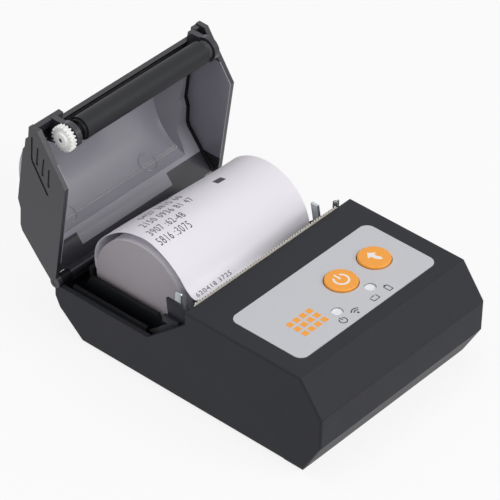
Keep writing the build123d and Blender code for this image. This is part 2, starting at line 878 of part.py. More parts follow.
with BuildPart() as keypad_overlay:
    with BuildSketch(Plane.XY.offset(panel_seat_z)):
        with Locations((0, (overlay_front + overlay_back) / 2)):
            RectangleRounded(2 * overlay_half, overlay_back - overlay_front, overlay_corner)
        with Locations((power_x, power_y), (feed_x, feed_y)):
            Circle(button_radius + button_clearance, mode=Mode.SUBTRACT)
        with Locations(*lamp_places):
            Circle(lamp_radius + 0.1, mode=Mode.SUBTRACT)
    extrude(amount=overlay_thickness)
write(keypad_overlay, "keypad_overlay")

# Two round keys, each captive under the deck by its flange
for key_name, key_x, key_y in (("power_button", power_x, power_y), ("feed_button", feed_x, feed_y)):
    with BuildPart() as key:
        with BuildSketch(Plane.XY.offset(button_flange_low)):
            with Locations((key_x, key_y)):
                Circle(button_radius + flange_extra)
        extrude(amount=button_flange_top - button_flange_low)
        with BuildSketch(Plane.XY.offset(button_flange_low)):
            with Locations((key_x, key_y)):
                Circle(button_radius)
        extrude(amount=overlay_top + button_proud - button_flange_low)
        fillet(key.faces().sort_by(Axis.Z)[-1].edges(), 0.5)
    write(key, key_name)

# Print head: ceramic strip on a metal heat sink, pushed by two springs against the platen
sink_back_y = head_face_y - head_thickness - sink_thickness
beam_front_y = sink_back_y - spring_length
with BuildPart() as thermal_head:
    with BuildSketch(Plane.XY.offset(head_low_z)):
        with Locations((0, head_face_y - head_thickness / 2)):
            Rectangle(2 * head_half, head_thickness)
    extrude(amount=head_high_z - head_low_z)
write(thermal_head, "thermal_head")

sink_left = left_bracket_x + bracket_thickness
with BuildPart() as heat_sink:
    with BuildSketch(Plane.XY.offset(20.2)):
        with Locations(((sink_left + right_bracket_x) / 2, sink_back_y + sink_thickness / 2)):
            Rectangle(right_bracket_x - sink_left, sink_thickness)
    extrude(amount=head_high_z - 20.2)
write(heat_sink, "heat_sink")

# The hidden pressure springs are plain sleeves of the coils' outer and inner size
spring_z = 26.5
with BuildPart() as head_springs:
    for x in (-13.0, 16.0):
        with BuildSketch(Plane(origin=(x, sink_back_y, spring_z), x_dir=(1, 0, 0), z_dir=(0, -1, 0))):
            Circle(spring_radius)
            Circle(spring_radius - spring_wire, mode=Mode.SUBTRACT)
        extrude(amount=spring_length)
write(head_springs, "head_springs")

beam_back_y = beam_front_y - beam_depth
with BuildPart() as print_head_frame:
    with BuildSketch(Plane.XY.offset(24.0)):
        with Locations(((sink_left + right_bracket_x) / 2, (beam_front_y + beam_back_y) / 2)):
            Rectangle(right_bracket_x - sink_left, beam_depth)
    extrude(amount=5.0)
    for x, y in leg_places:
        with BuildSketch(Plane.XY.offset(floor_z + leg_boss_height + 1.5)):
            with Locations((x, (beam_front_y + beam_back_y) / 2 - 1.6)):
                Rectangle(5.0, 1.4)
        extrude(amount=24.5 - floor_z - leg_boss_height - 1.5)
        with BuildSketch(Plane.XY.offset(floor_z + leg_boss_height)):
            with Locations((x, y)):
                Rectangle(5.4, 6.8)
        extrude(amount=1.5)
    with BuildSketch(Plane.XY.offset(floor_z + leg_boss_height)):
        with Locations(*leg_places):
            Circle(screw_radius + 0.1)
    extrude(amount=1.5, mode=Mode.SUBTRACT)
write(print_head_frame, "print_head_frame")

with BuildPart() as mechanism_screws:
    for x, y in leg_places:
        with BuildSketch(Plane.XY.offset(floor_z + leg_boss_height + 1.5)):
            with Locations((x, y)):
                Circle(screw_head_radius - 0.3)
        extrude(amount=1.0)
        with BuildSketch(Plane.XY.offset(floor_z + 1.0)):
            with Locations((x, y)):
                Circle(screw_radius)
        extrude(amount=leg_boss_height + 1.0)
write(mechanism_screws, "mechanism_screws")

# Side brackets with the guide horns behind the platen's shaft
slot_half = shaft_radius + 0.4


def bracket_outline(horn_z):
    """Outline of a side bracket whose horn ends at height horn_z."""
    lean = 0.2 * (horn_z - platen_z)
    return [
        (beam_back_y, 23.4),
        (beam_back_y, 29.0),
        (platen_y - slot_half, 29.0),
        (platen_y - slot_half, platen_z),
        (platen_y - 0.9, platen_z - slot_half),
        (platen_y + 0.9, platen_z - slot_half),
        (platen_y + slot_half, platen_z),
        (platen_y + slot_half + lean, horn_z),
        (platen_y + slot_half + lean + 2.6, horn_z),
        (platen_y + slot_half + 2.4, platen_z - 1.0),
        (platen_y + slot_half + 2.4, 20.2),
        (-2.4, 20.2),
        (-2.4, 23.4),
    ]


for bracket_name, bracket_x, horn_z in (
    ("head_bracket_left", left_bracket_x, left_horn_z),
    ("head_bracket_right", right_bracket_x, right_horn_z),
):
    with BuildPart() as bracket:
        with BuildSketch(side(bracket_x)):
            with BuildLine():
                Polyline(*bracket_outline(horn_z), close=True)
            make_face()
        extrude(amount=bracket_thickness)
    write(bracket, bracket_name)

# Tear bar: a toothed strip fixed to the deck's rear edge
tear_back_y = mouth_y + tear_thickness
tear_count = int((tear_right - tear_left) / tear_pitch)
tear_points = [(tear_left, tear_low_z), (tear_left, top_z - 0.3)]
for tooth in range(tear_count):
    tooth_x = tear_left + tooth * tear_pitch
    tear_points.append((tooth_x + tear_pitch / 2, top_z - 0.3 + tear_tooth))
    tear_points.append((tooth_x + tear_pitch, top_z - 0.3))
tear_points.append((tear_left + tear_count * tear_pitch, tear_low_z))
with BuildPart() as tear_bar:
    with BuildSketch(Plane(origin=(0, tear_back_y, 0), x_dir=(1, 0, 0), z_dir=(0, -1, 0))):
        with BuildLine():
            Polyline(*tear_points, close=True)
        make_face()
    extrude(amount=tear_thickness)
write(tear_bar, "tear_bar")

# Platen: rubber on a steel shaft, carried in two bushes
end_ring = 1.0
shaft_left = gear_left - 0.6
shaft_right = right_arm_x + bush_width + 0.4
with BuildPart() as platen_shaft:
    with BuildSketch(cover_side(shaft_left)):
        with Locations((platen_y, platen_z)):
            Circle(shaft_radius)
    extrude(amount=shaft_right - shaft_left)
write(platen_shaft, "platen_shaft")

with BuildPart() as platen_roller:
    with BuildSketch(cover_side(platen_left)):
        with Locations((platen_y, platen_z)):
            Circle(platen_radius)
            Circle(shaft_radius, mode=Mode.SUBTRACT)
    extrude(amount=platen_right - platen_left)
write(platen_roller, "platen_roller")

with BuildPart() as platen_collar:
    with BuildSketch(cover_side(platen_left - end_ring)):
        with Locations((platen_y, platen_z)):
            Circle(platen_radius - 0.6)
            Circle(shaft_radius, mode=Mode.SUBTRACT)
    extrude(amount=end_ring)
write(platen_collar, "platen_collar")

for bush_name, bush_x in (("platen_bush_left", left_arm_x), ("platen_bush_right", right_arm_x)):
    with BuildPart() as bush:
        with BuildSketch(cover_side(bush_x)):
            with Locations((platen_y, platen_z)):
                Circle(bush_radius)
                Circle(shaft_radius + shaft_clearance, mode=Mode.SUBTRACT)
        extrude(amount=bush_width)
    write(bush, bush_name)

# Gears. The platen gear meets the idler only while the cover is closed.
platen_to_idler = math.degrees(math.atan2(idler_z - platen_z, idler_y - platen_y))
idler_pitch = 360 / idler_teeth
pinion_pitch = 360 / pinion_teeth
idler_phase = platen_to_idler + 180 + idler_pitch / 2
idler_to_pinion = math.degrees(math.atan2(pinion_z - idler_z, pinion_y - idler_y))
lead = (idler_phase - idler_to_pinion + idler_pitch / 2) % idler_pitch - idler_pitch / 2
pinion_phase = idler_to_pinion + 180 - lead * idler_teeth / pinion_teeth + pinion_pitch / 2

with BuildPart() as platen_gear:
    with BuildSketch(cover_side(gear_left)):
        with BuildLine():
            Polyline(*shifted(gear_outline(platen_teeth, platen_to_idler), platen_y, platen_z), close=True)
        make_face()
        with Locations((platen_y, platen_z)):
            Circle(shaft_radius, mode=Mode.SUBTRACT)
    extrude(amount=gear_width)
write(platen_gear, "platen_gear")

with BuildPart() as idler_gear:
    with BuildSketch(side(gear_left)):
        with BuildLine():
            Polyline(*shifted(gear_outline(idler_teeth, idler_phase), idler_y, idler_z), close=True)
        make_face()
        with Locations((idler_y, idler_z)):
            Circle(idler_shaft_radius + shaft_clearance, mode=Mode.SUBTRACT)
    extrude(amount=gear_width)
write(idler_gear, "idler_gear")

with BuildPart() as motor_pinion:
    with BuildSketch(side(gear_left)):
        with BuildLine():
            Polyline(*shifted(gear_outline(pinion_teeth, pinion_phase), pinion_y, pinion_z), close=True)
        make_face()
        with Locations((pinion_y, pinion_z)):
            Circle(motor_shaft_radius, mode=Mode.SUBTRACT)
    extrude(amount=gear_width)
write(motor_pinion, "motor_pinion")

# Motor, its shaft and the plate that carries the gear train
plate_left = gear_left + gear_width + 0.3
plate_right = plate_left + motor_plate_thickness
with BuildPart() as motor_shaft:
    with BuildSketch(side(gear_left - 0.2)):
        with Locations((pinion_y, pinion_z)):
            Circle(motor_shaft_radius)
    extrude(amount=plate_right + 0.5 - gear_left + 0.2)
write(motor_shaft, "motor_shaft")

with BuildPart() as stepper_motor:
    with BuildSketch(side(plate_right)):
        with Locations((pinion_y, pinion_z)):
            Circle(motor_radius)
    extrude(amount=motor_length)
    with BuildSketch(side(plate_right - motor_plate_thickness)):
        with Locations((pinion_y, pinion_z)):
            Circle(2.5)
    extrude(amount=motor_plate_thickness)
    with BuildSketch(side(plate_right - motor_plate_thickness)):
        with Locations((pinion_y, pinion_z)):
            Circle(motor_shaft_radius + shaft_clearance)
    extrude(amount=motor_plate_thickness + 1.5, mode=Mode.SUBTRACT)
write(stepper_motor, "stepper_motor")

with BuildPart() as motor_plate:
    with BuildSketch(side(plate_left)):
        with BuildLine():
            Polyline(
                (pinion_y - motor_radius, floor_z),
                (pinion_y - motor_radius, pinion_z + 4.5),
                (pinion_y - 4.0, pinion_z + 8.0),
                (beam_front_y, 28.6),
                (beam_front_y + 1.0, 28.6),
                (beam_front_y + 1.8, 20.8),
                (idler_y + 2.2, 20.8),
                (idler_y + 3.2, idler_z),
                (idler_y + 2.2, floor_z),
                close=True,
            )
        make_face()
        with Locations((pinion_y, pinion_z)):
            Circle(2.5, mode=Mode.SUBTRACT)
        with Locations((idler_y, idler_z)):
            Circle(idler_shaft_radius, mode=Mode.SUBTRACT)
    extrude(amount=motor_plate_thickness)
write(motor_plate, "motor_plate")

guard_left = gear_left - 2.2
guard_thickness = 1.0
with BuildPart() as idler_shaft:
    with BuildSketch(side(guard_left + guard_thickness)):
        with Locations((idler_y, idler_z)):
            Circle(idler_shaft_radius)
    extrude(amount=plate_right - guard_left - guard_thickness)
write(idler_shaft, "idler_shaft")

# Guard between the gears and the housing's side wall
with BuildPart() as gear_guard:
    with BuildSketch(side(guard_left)):
        with BuildLine():
            Polyline(
                (pinion_y - 3.0, floor_z),
                (pinion_y - 3.0, pinion_z + 4.0),
                (-6.0, 26.2),
                (9.3, 26.2),
                (9.3, 22.0),
                (7.0, parting_z),
                (7.0, floor_z),
                close=True,
            )
        make_face()
    extrude(amount=guard_thickness)
write(gear_guard, "gear_guard")

# Reflective paper sensor and the flat cable of the print head
with BuildPart() as paper_sensor:
    with BuildSketch(Plane.XY.offset(parting_z - 1.0)):
        with Locations((0, tray_front_y - 1.8)):
            Rectangle(4.2, 2.8)
    extrude(amount=1.8)
write(paper_sensor, "paper_sensor")

cable_thickness = 0.3
with BuildPart() as head_cable:
    with BuildSketch(side(-9.0)):
        with BuildLine():
            Polyline(
                (sink_back_y, 22.4),
                (sink_back_y - cable_thickness, 22.4),
                (sink_back_y - cable_thickness, 20.0),
                (sink_back_y - 1.2, 18.9),
                (board_back + 0.6, 18.9),
                (board_back - 0.6, board_top + cable_thickness),
                (board_back - 4.0, board_top + cable_thickness),
                (board_back - 4.0, board_top),
                (board_back - 0.4, board_top),
                (board_back + 0.8, 18.6),
                (sink_back_y - 1.0, 18.6),
                (sink_back_y, 19.7),
                close=True,
            )
        make_face()
    extrude(amount=18.0)
write(head_cable, "head_cable")

# Paper roll and the sheet lying loose over it
with BuildPart() as paper_roll:
    with BuildSketch(side(-paper_width / 2)):
        with Locations((roll_y, roll_z)):
            Circle(roll_radius)
    extrude(amount=paper_width)
write(paper_roll, "paper_roll")

sheet_path = [
    (roll_y + roll_radius + gap, roll_z),
    (45.2, 26.6),
    (45.4, 31.0),
    (40.6, 37.4),
    (34.2, 41.7),
    (25.5, 43.6),
    (16.6, 41.2),
    (11.0, 36.9),
    (7.4, 32.4),
    (3.6, 30.9),
    (1.2, 31.4),
]
with BuildPart() as paper_strip:
    with BuildSketch(side(-paper_width / 2)):
        with BuildLine() as sheet_line:
            Spline(*sheet_path)
        trace(line_width=sheet_thickness)
    extrude(amount=paper_width)
write(paper_strip, "paper_strip")
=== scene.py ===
"""Dress for the portable receipt printer: finishes, paper, key legends and the studio round it."""

import json
import logging
import math
from collections.abc import Callable
from dataclasses import dataclass
from enum import Enum

import bmesh
import bpy
from mathutils import Matrix, Vector

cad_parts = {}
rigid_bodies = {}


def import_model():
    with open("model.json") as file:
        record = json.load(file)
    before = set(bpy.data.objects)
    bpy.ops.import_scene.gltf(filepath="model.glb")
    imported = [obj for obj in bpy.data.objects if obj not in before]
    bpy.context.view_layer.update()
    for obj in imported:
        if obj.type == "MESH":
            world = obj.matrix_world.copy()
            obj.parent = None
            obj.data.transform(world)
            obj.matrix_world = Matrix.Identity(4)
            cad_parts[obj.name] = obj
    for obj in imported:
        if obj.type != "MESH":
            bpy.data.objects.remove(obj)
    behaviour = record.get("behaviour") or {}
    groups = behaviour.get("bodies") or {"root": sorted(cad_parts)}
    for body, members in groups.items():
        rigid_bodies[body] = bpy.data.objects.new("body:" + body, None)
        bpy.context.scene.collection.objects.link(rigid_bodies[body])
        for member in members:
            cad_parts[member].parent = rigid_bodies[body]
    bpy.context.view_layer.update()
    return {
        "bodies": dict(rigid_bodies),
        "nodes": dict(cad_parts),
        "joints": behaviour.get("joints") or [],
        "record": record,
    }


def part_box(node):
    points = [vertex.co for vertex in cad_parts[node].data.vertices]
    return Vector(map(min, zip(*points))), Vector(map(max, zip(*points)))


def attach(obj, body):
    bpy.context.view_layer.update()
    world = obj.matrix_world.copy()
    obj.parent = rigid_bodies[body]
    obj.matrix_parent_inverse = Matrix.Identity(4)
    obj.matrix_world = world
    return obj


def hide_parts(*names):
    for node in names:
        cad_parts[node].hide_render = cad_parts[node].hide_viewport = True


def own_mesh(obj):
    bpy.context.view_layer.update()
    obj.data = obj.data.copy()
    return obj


LOG = logging.getLogger("receipt_printer")
MM = 0.001
SIDES = {"left": -1, "right": 1}
Material = bpy.types.Material
Piece = bpy.types.Object
Socket = bpy.types.NodeSocket


class Tone(Enum):
    """Colours of the printer's finishes, as sRGB values from 0 to 255."""

    HOUSING = (38, 39, 45)
    COVER_FRAME = (54, 54, 60)
    # painted light shining through the smoked window and through its inner sides
    COVER_WINDOW = (160, 158, 166)
    COVER_PANEL = (150, 147, 156)
    # near-black plastic, also used as painted shade in the paper bay and along the cover joints
    SHADOW_PLASTIC = (16, 17, 20)
    FILM = (203, 204, 209)
    ORANGE = (255, 168, 60)
    WHITE_PRINT = (247, 244, 240)
    DARK_PRINT = (52, 54, 58)
    THERMAL_PRINT = (74, 74, 80)
    LENS = (243, 243, 246)
    PAPER = (238, 235, 242)
    # painted shade on the roll's end faces
    PAPER_END = (176, 170, 176)
    RUBBER = (30, 31, 35)
    ACETAL = (250, 250, 248)
    BUSH = (132, 133, 136)
    STEEL = (196, 197, 200)
    ZINC = (196, 202, 206)
    ALUMINIUM = (200, 202, 206)
    CERAMIC = (216, 210, 196)
    BOARD = (24, 84, 52)
    WRAP = (40, 66, 132)
    BLACK_STEEL = (86, 87, 92)
    # painted glint on the steel saw teeth
    TEAR_EDGE = (236, 231, 220)
    GOLD = (206, 172, 96)
    AMBER = (176, 106, 40)


def linear(tone: Tone) -> tuple[float, float, float, float]:
    """Turn a tone into Blender's linear colour.

    Args:
        tone: The sRGB colour to convert.

    Returns:
        Linear red, green, blue and an alpha of one.
    """
    parts = [v / 255 for v in tone.value]
    red, green, blue = (v / 12.92 if v <= 0.04045 else ((v + 0.055) / 1.055) ** 2.4 for v in parts)
    return (red, green, blue, 1.0)


class Mixer:
    """A node tree and the steps that put it together."""

    def __init__(self, tree: bpy.types.NodeTree) -> None:
        """Take hold of a tree."""
        self.tree = tree

    def fill(self, slot: Socket, value: object) -> None:
        """Give an input its value.

        Args:
            slot: The input.
            value: A socket to link, or a number or colour.
        """
        if isinstance(value, Socket):
            self.tree.links.new(value, slot)
        else:
            slot.default_value = value

    def add(self, kind: str, **inputs: object) -> bpy.types.Node:
        """Add a node and fill its inputs.

        Args:
            kind: Blender's name of the node, after its ShaderNode prefix.
            inputs: Values by input name, with an underscore for each space.

        Returns:
            The node.
        """
        node = self.tree.nodes.new(f"ShaderNode{kind}")
        for name, value in inputs.items():
            self.fill(node.inputs[name.replace("_", " ")], value)
        return node

    def place(self) -> Socket:
        """Give the surface's Object coordinates."""
        return self.add("TexCoord").outputs["Object"]

    def maths(self, operation: str, first: object, second: object = 0.0) -> Socket:
        """Add one sum.

        Args:
            operation: Blender's name of the sum.
            first: A socket or a number.
            second: A socket or a number.

        Returns:
            The socket with the result.
        """
        node = self.add("Math")
        node.operation = operation
        for slot, value in zip(node.inputs, (first, second)):
            self.fill(slot, value)
        return node.outputs["Value"]

    def mix(self, share: object, first: object, second: object, blend: str = "MIX") -> Socket:
        """Mix two colours.

        Args:
            share: How much of the second, a socket.
            first: A socket or a colour.
            second: A socket or a colour.
            blend: Blender's name of the way they mix.

        Returns:
            The socket with the result.
        """
        node = self.add("MixRGB", Fac=share, Color1=first, Color2=second)
        node.blend_type = blend
        return node.outputs["Color"]


@dataclass(frozen=True)
class Finish:
    """A moulded, rolled or printed surface with its grain and its slight unevenness."""

    name: str
    tone: Tone
    roughness: float = 0.5
    metallic: float = 0.0
    grain_size: float = 0.4
    grain_depth: float = 0.02
    mottle: float = 0.06
    stretch: tuple[float, float, float] = (1.0, 1.0, 1.0)
    specular: float = 0.5
    fine_detail: float = 3.0
    broad_scale: float = 90.0
    broad_detail: float = 4.0
    bump_strength: float = 0.6
    gloss_change: float = 0.06

    def build(self) -> Material:
        """Make the whole finish.

        Returns:
            The finished material.
        """
        material = bpy.data.materials.new(self.name)
        material.use_nodes = True
        mixer = Mixer(material.node_tree)
        shader = material.node_tree.nodes["Principled BSDF"]
        shader.inputs["Base Color"].default_value = linear(self.tone)
        shader.inputs["Metallic"].default_value = self.metallic
        shader.inputs["Roughness"].default_value = self.roughness
        shader.inputs["Specular IOR Level"].default_value = self.specular
        broad = self.grain(mixer, shader)
        mixer.fill(shader.inputs["Base Color"], self.colour(mixer, broad))
        return material

    def grain(self, mixer: Mixer, shader: bpy.types.Node) -> Socket:
        """Add the fine grain, the uneven gloss and the bump.

        Args:
            mixer: The material's tree.
            shader: Its Principled node.

        Returns:
            The broad noise, for colour changes.
        """
        spread = mixer.add("Mapping", Vector=mixer.place(), Scale=self.stretch).outputs["Vector"]
        fine_scale = 1.0 / (self.grain_size * MM)
        fine = mixer.add("TexNoise", Vector=spread, Scale=fine_scale, Detail=self.fine_detail)
        broad = mixer.add("TexNoise", Vector=spread, Scale=self.broad_scale, Detail=self.broad_detail)
        bump = mixer.add(
            "Bump", Strength=self.bump_strength, Distance=self.grain_depth * MM, Height=fine.outputs["Fac"]
        )
        gloss = mixer.add(
            "MapRange",
            Value=broad.outputs["Fac"],
            To_Min=max(0.02, self.roughness - self.gloss_change),
            To_Max=min(1.0, self.roughness + self.gloss_change),
        )
        mixer.fill(shader.inputs["Normal"], bump.outputs["Normal"])
        mixer.fill(shader.inputs["Roughness"], gloss.outputs["Result"])
        return broad.outputs["Fac"]

    def colour(self, mixer: Mixer, broad: Socket) -> Socket:
        """Vary the tone a little, darker and lighter.

        Args:
            mixer: The material's tree.
            broad: The broad noise.

        Returns:
            The socket with the colour.
        """
        darker, lighter = (
            tuple(min(1.0, v * (1 + change)) for v in linear(self.tone)[:3]) + (1.0,)
            for change in (-self.mottle, self.mottle)
        )
        return mixer.mix(broad, darker, lighter)


@dataclass(frozen=True)
class SmokedCover(Finish):
    """Cover plastic: a dark frame and lip, with the inner sides and the smoked window made paler by painted
    light shining through them.
    """

    window_backlight_tone: Tone = Tone.COVER_WINDOW
    panel_backlight_tone: Tone = Tone.COVER_PANEL
    window_half: float = 0.0348
    panel_half: float = 0.0365
    lip_from: float = 0.0612
    barrel_to: float = 0.0215
    block_to: float = 0.0247
    block_middle: float = -0.0015
    block_half: float = 0.0205
    cloud: tuple[float, float, float, float] = (0.88, 0.88, 0.9, 1.0)

    def colour(self, mixer: Mixer, broad: Socket) -> Socket:
        """Paint the light that shines through the window and its panels by place, with the cover open; the
        frame tone stays below the barrel line and in a block at each end just above it.

        Args:
            mixer: The material's tree.
            broad: The broad noise.

        Returns:
            The socket with the colour.
        """
        split = mixer.add("SeparateXYZ", Vector=mixer.place()).outputs
        width = mixer.maths("ABSOLUTE", split["X"])
        below_lip = mixer.maths("LESS_THAN", split["Z"], self.lip_from)
        above_barrel = mixer.maths("GREATER_THAN", split["Z"], self.barrel_to)
        above_block = mixer.maths("GREATER_THAN", split["Z"], self.block_to)
        aside = mixer.maths("ABSOLUTE", mixer.maths("SUBTRACT", split["X"], self.block_middle))
        between_blocks = mixer.maths("LESS_THAN", aside, self.block_half)
        middle = mixer.maths("MULTIPLY", below_lip, above_barrel)
        middle = mixer.maths("MULTIPLY", middle, mixer.maths("MAXIMUM", above_block, between_blocks))
        shade = linear(self.tone)
        # painted backlight: the window and its panels are made paler where light from behind shines through
        # the smoked plastic
        for half, tone in ((self.panel_half, self.panel_backlight_tone), (self.window_half, self.window_backlight_tone)):
            zone = mixer.maths("MULTIPLY", mixer.maths("LESS_THAN", width, half), middle)
            shade = mixer.mix(zone, shade, linear(tone))
        return mixer.mix(broad, shade, self.cloud, "MULTIPLY")


@dataclass(frozen=True)
class HousingWithPaintedBayShade(Finish):
    """Housing plastic with painted shade that turns it black inside the paper bay."""

    bay_shade_tone: Tone = Tone.SHADOW_PLASTIC
    inner_half: float = 0.0363
    bay_from: float = 0.0120
    bay_above: float = 0.0030

    def colour(self, mixer: Mixer, broad: Socket) -> Socket:
        """Paint shade into the bay by place, where the housing is made black.

        Args:
            mixer: The material's tree.
            broad: The broad noise.

        Returns:
            The socket with the colour.
        """
        split = mixer.add("SeparateXYZ", Vector=mixer.place()).outputs
        inside = mixer.maths("LESS_THAN", mixer.maths("ABSOLUTE", split["X"]), self.inner_half)
        behind = mixer.maths("GREATER_THAN", split["Y"], self.bay_from)
        above = mixer.maths("GREATER_THAN", split["Z"], self.bay_above)
        # painted shade: inside the paper bay the housing is mixed to near black
        bay = mixer.maths("MULTIPLY", mixer.maths("MULTIPLY", inside, behind), above)
        return mixer.mix(bay, super().colour(mixer, broad), linear(self.bay_shade_tone))


class Workshop:
    """Modelling steps that several pieces share."""

    @staticmethod
    def deselect() -> None:
        """Leave edit mode with nothing selected."""
        if bpy.context.object and bpy.context.object.mode != "OBJECT":
            bpy.ops.object.mode_set(mode="OBJECT")
        bpy.ops.object.select_all(action="DESELECT")

    @staticmethod
    def take(piece: Piece) -> None:
        """Select one piece alone and make it the active one.

        Args:
            piece: The object to work on.
        """
        Workshop.deselect()
        piece.select_set(True)
        bpy.context.view_layer.objects.active = piece

    @staticmethod
    def settle(piece: Piece) -> None:
        """Put a piece's place, turn and size in its mesh."""
        Workshop.take(piece)
        bpy.ops.object.transform_apply(location=True, rotation=True, scale=True)

    @staticmethod
    def finish(piece: Piece, name: str, material: Material, body: str, slot: str) -> None:
        """Name a piece, put its place in its mesh, dress it and hang it on its body.

        Args:
            piece: The new object.
            name: Its name.
            material: Its finish.
            body: The moving body it rides on.
            slot: The record's material slot; not used.
        """
        Workshop.settle(piece)
        piece.name = name
        piece.data.name = name
        piece.data.materials.clear()
        piece.data.materials.append(material)
        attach(piece, body)
        LOG.info("made %s on %s", name, body)

    @staticmethod
    def modifier(piece: Piece, kind: str, **settings: object) -> None:
        """Add a modifier and apply it.

        Args:
            piece: The object to change.
            kind: Blender's name of the modifier.
            settings: Values to set on it.
        """
        Workshop.take(piece)
        added = piece.modifiers.new(kind.title(), kind)
        for key, value in settings.items():
            setattr(added, key, value)
        bpy.ops.object.modifier_apply(modifier=added.name)

    @staticmethod
    def round_edges(piece: Piece, width: float) -> None:
        """Round the sharp edges of a piece by a width in millimetres."""
        Workshop.modifier(piece, "BEVEL", width=width * MM, segments=2, limit_method="ANGLE")

    @staticmethod
    def smooth(piece: Piece, angle: float) -> None:
        """Shade a piece smooth across edges up to an angle in degrees."""
        Workshop.take(piece)
        bpy.ops.object.shade_smooth_by_angle(angle=math.radians(angle))

    @staticmethod
    def face_outwards(piece: Piece) -> None:
        """Turn every face of a closed piece outwards.

        Args:
            piece: The object to change.
        """
        Workshop.take(piece)
        bpy.ops.object.mode_set(mode="EDIT")
        bpy.ops.mesh.select_all(action="SELECT")
        bpy.ops.mesh.normals_make_consistent(inside=False)
        bpy.ops.object.mode_set(mode="OBJECT")

    @staticmethod
    def pick_faces(piece: Piece, wanted: Callable[[bmesh.types.BMFace], bool]) -> None:
        """Select in edit mode the faces that pass a test, and no others.

        Args:
            piece: The object in edit mode.
            wanted: The test.
        """
        bpy.ops.mesh.select_all(action="DESELECT")
        mesh = bmesh.from_edit_mesh(piece.data)
        for face in mesh.faces:
            face.select = wanted(face)
        bmesh.update_edit_mesh(piece.data)

    @staticmethod
    def join(pieces: list[Piece]) -> Piece:
        """Join meshes into one object.

        Args:
            pieces: The objects to join.

        Returns:
            The joined object.
        """
        Workshop.deselect()
        for piece in pieces:
            piece.select_set(True)
        bpy.context.view_layer.objects.active = pieces[0]
        bpy.ops.object.join()
        return pieces[0]

    @staticmethod
    def rod(ends: tuple[float, float], centre: Vector, radius: float, vertices: int) -> Piece:
        """Lay a round rod across the width.

        Args:
            ends: Where it starts and ends along X, in metres.
            centre: A place on its axis, in metres.
            radius: Its radius, in metres.
            vertices: How many corners its ends have.

        Returns:
            The rod.
        """
        bpy.ops.mesh.primitive_cylinder_add(
            vertices=vertices, radius=radius, depth=ends[1] - ends[0], end_fill_type="NGON",
            location=((ends[0] + ends[1]) / 2, centre.y, centre.z), rotation=(0.0, math.pi / 2, 0.0),
        )
        piece = bpy.context.object
        Workshop.settle(piece)
        return piece

    @staticmethod
    def plate(outline: list[tuple[float, float]], thickness: float) -> Piece:
        """Cut a flat plate from an outline in the XY plane.

        Args:
            outline: Its corners in order.
            thickness: Its height above the plane.

        Returns:
            The plate.
        """
        bpy.ops.mesh.primitive_circle_add(vertices=len(outline), radius=1.0, fill_type="NGON")
        piece = bpy.context.object
        for vertex, (x, y) in zip(piece.data.vertices, outline):
            vertex.co = (x, y, 0.0)
        bpy.ops.object.mode_set(mode="EDIT")
        bpy.ops.mesh.select_all(action="SELECT")
        bpy.ops.mesh.extrude_region_move(TRANSFORM_OT_translate={"value": (0.0, 0.0, thickness)})
        Workshop.face_outwards(piece)
        return piece

    @staticmethod
    def upright(outline: list[tuple[float, float]], start: float, thickness: float, across: bool) -> Piece:
        """Cut an upright plate.

        Args:
            outline: Its corners in millimetres: y and z for a plate across the width, else x and z.
            start: Where it starts on its own thin axis, in millimetres.
            thickness: Its thickness, in millimetres.
            across: True if its thin axis is X, False if it is Y.

        Returns:
            The plate.
        """
        piece = Workshop.plate([(a * MM, b * MM) for a, b in outline], thickness * MM)
        for vertex in piece.data.vertices:
            a, b, c = vertex.co
            vertex.co = (start * MM + c, a, b) if across else (a, start * MM + c, b)
        Workshop.face_outwards(piece)
        return piece


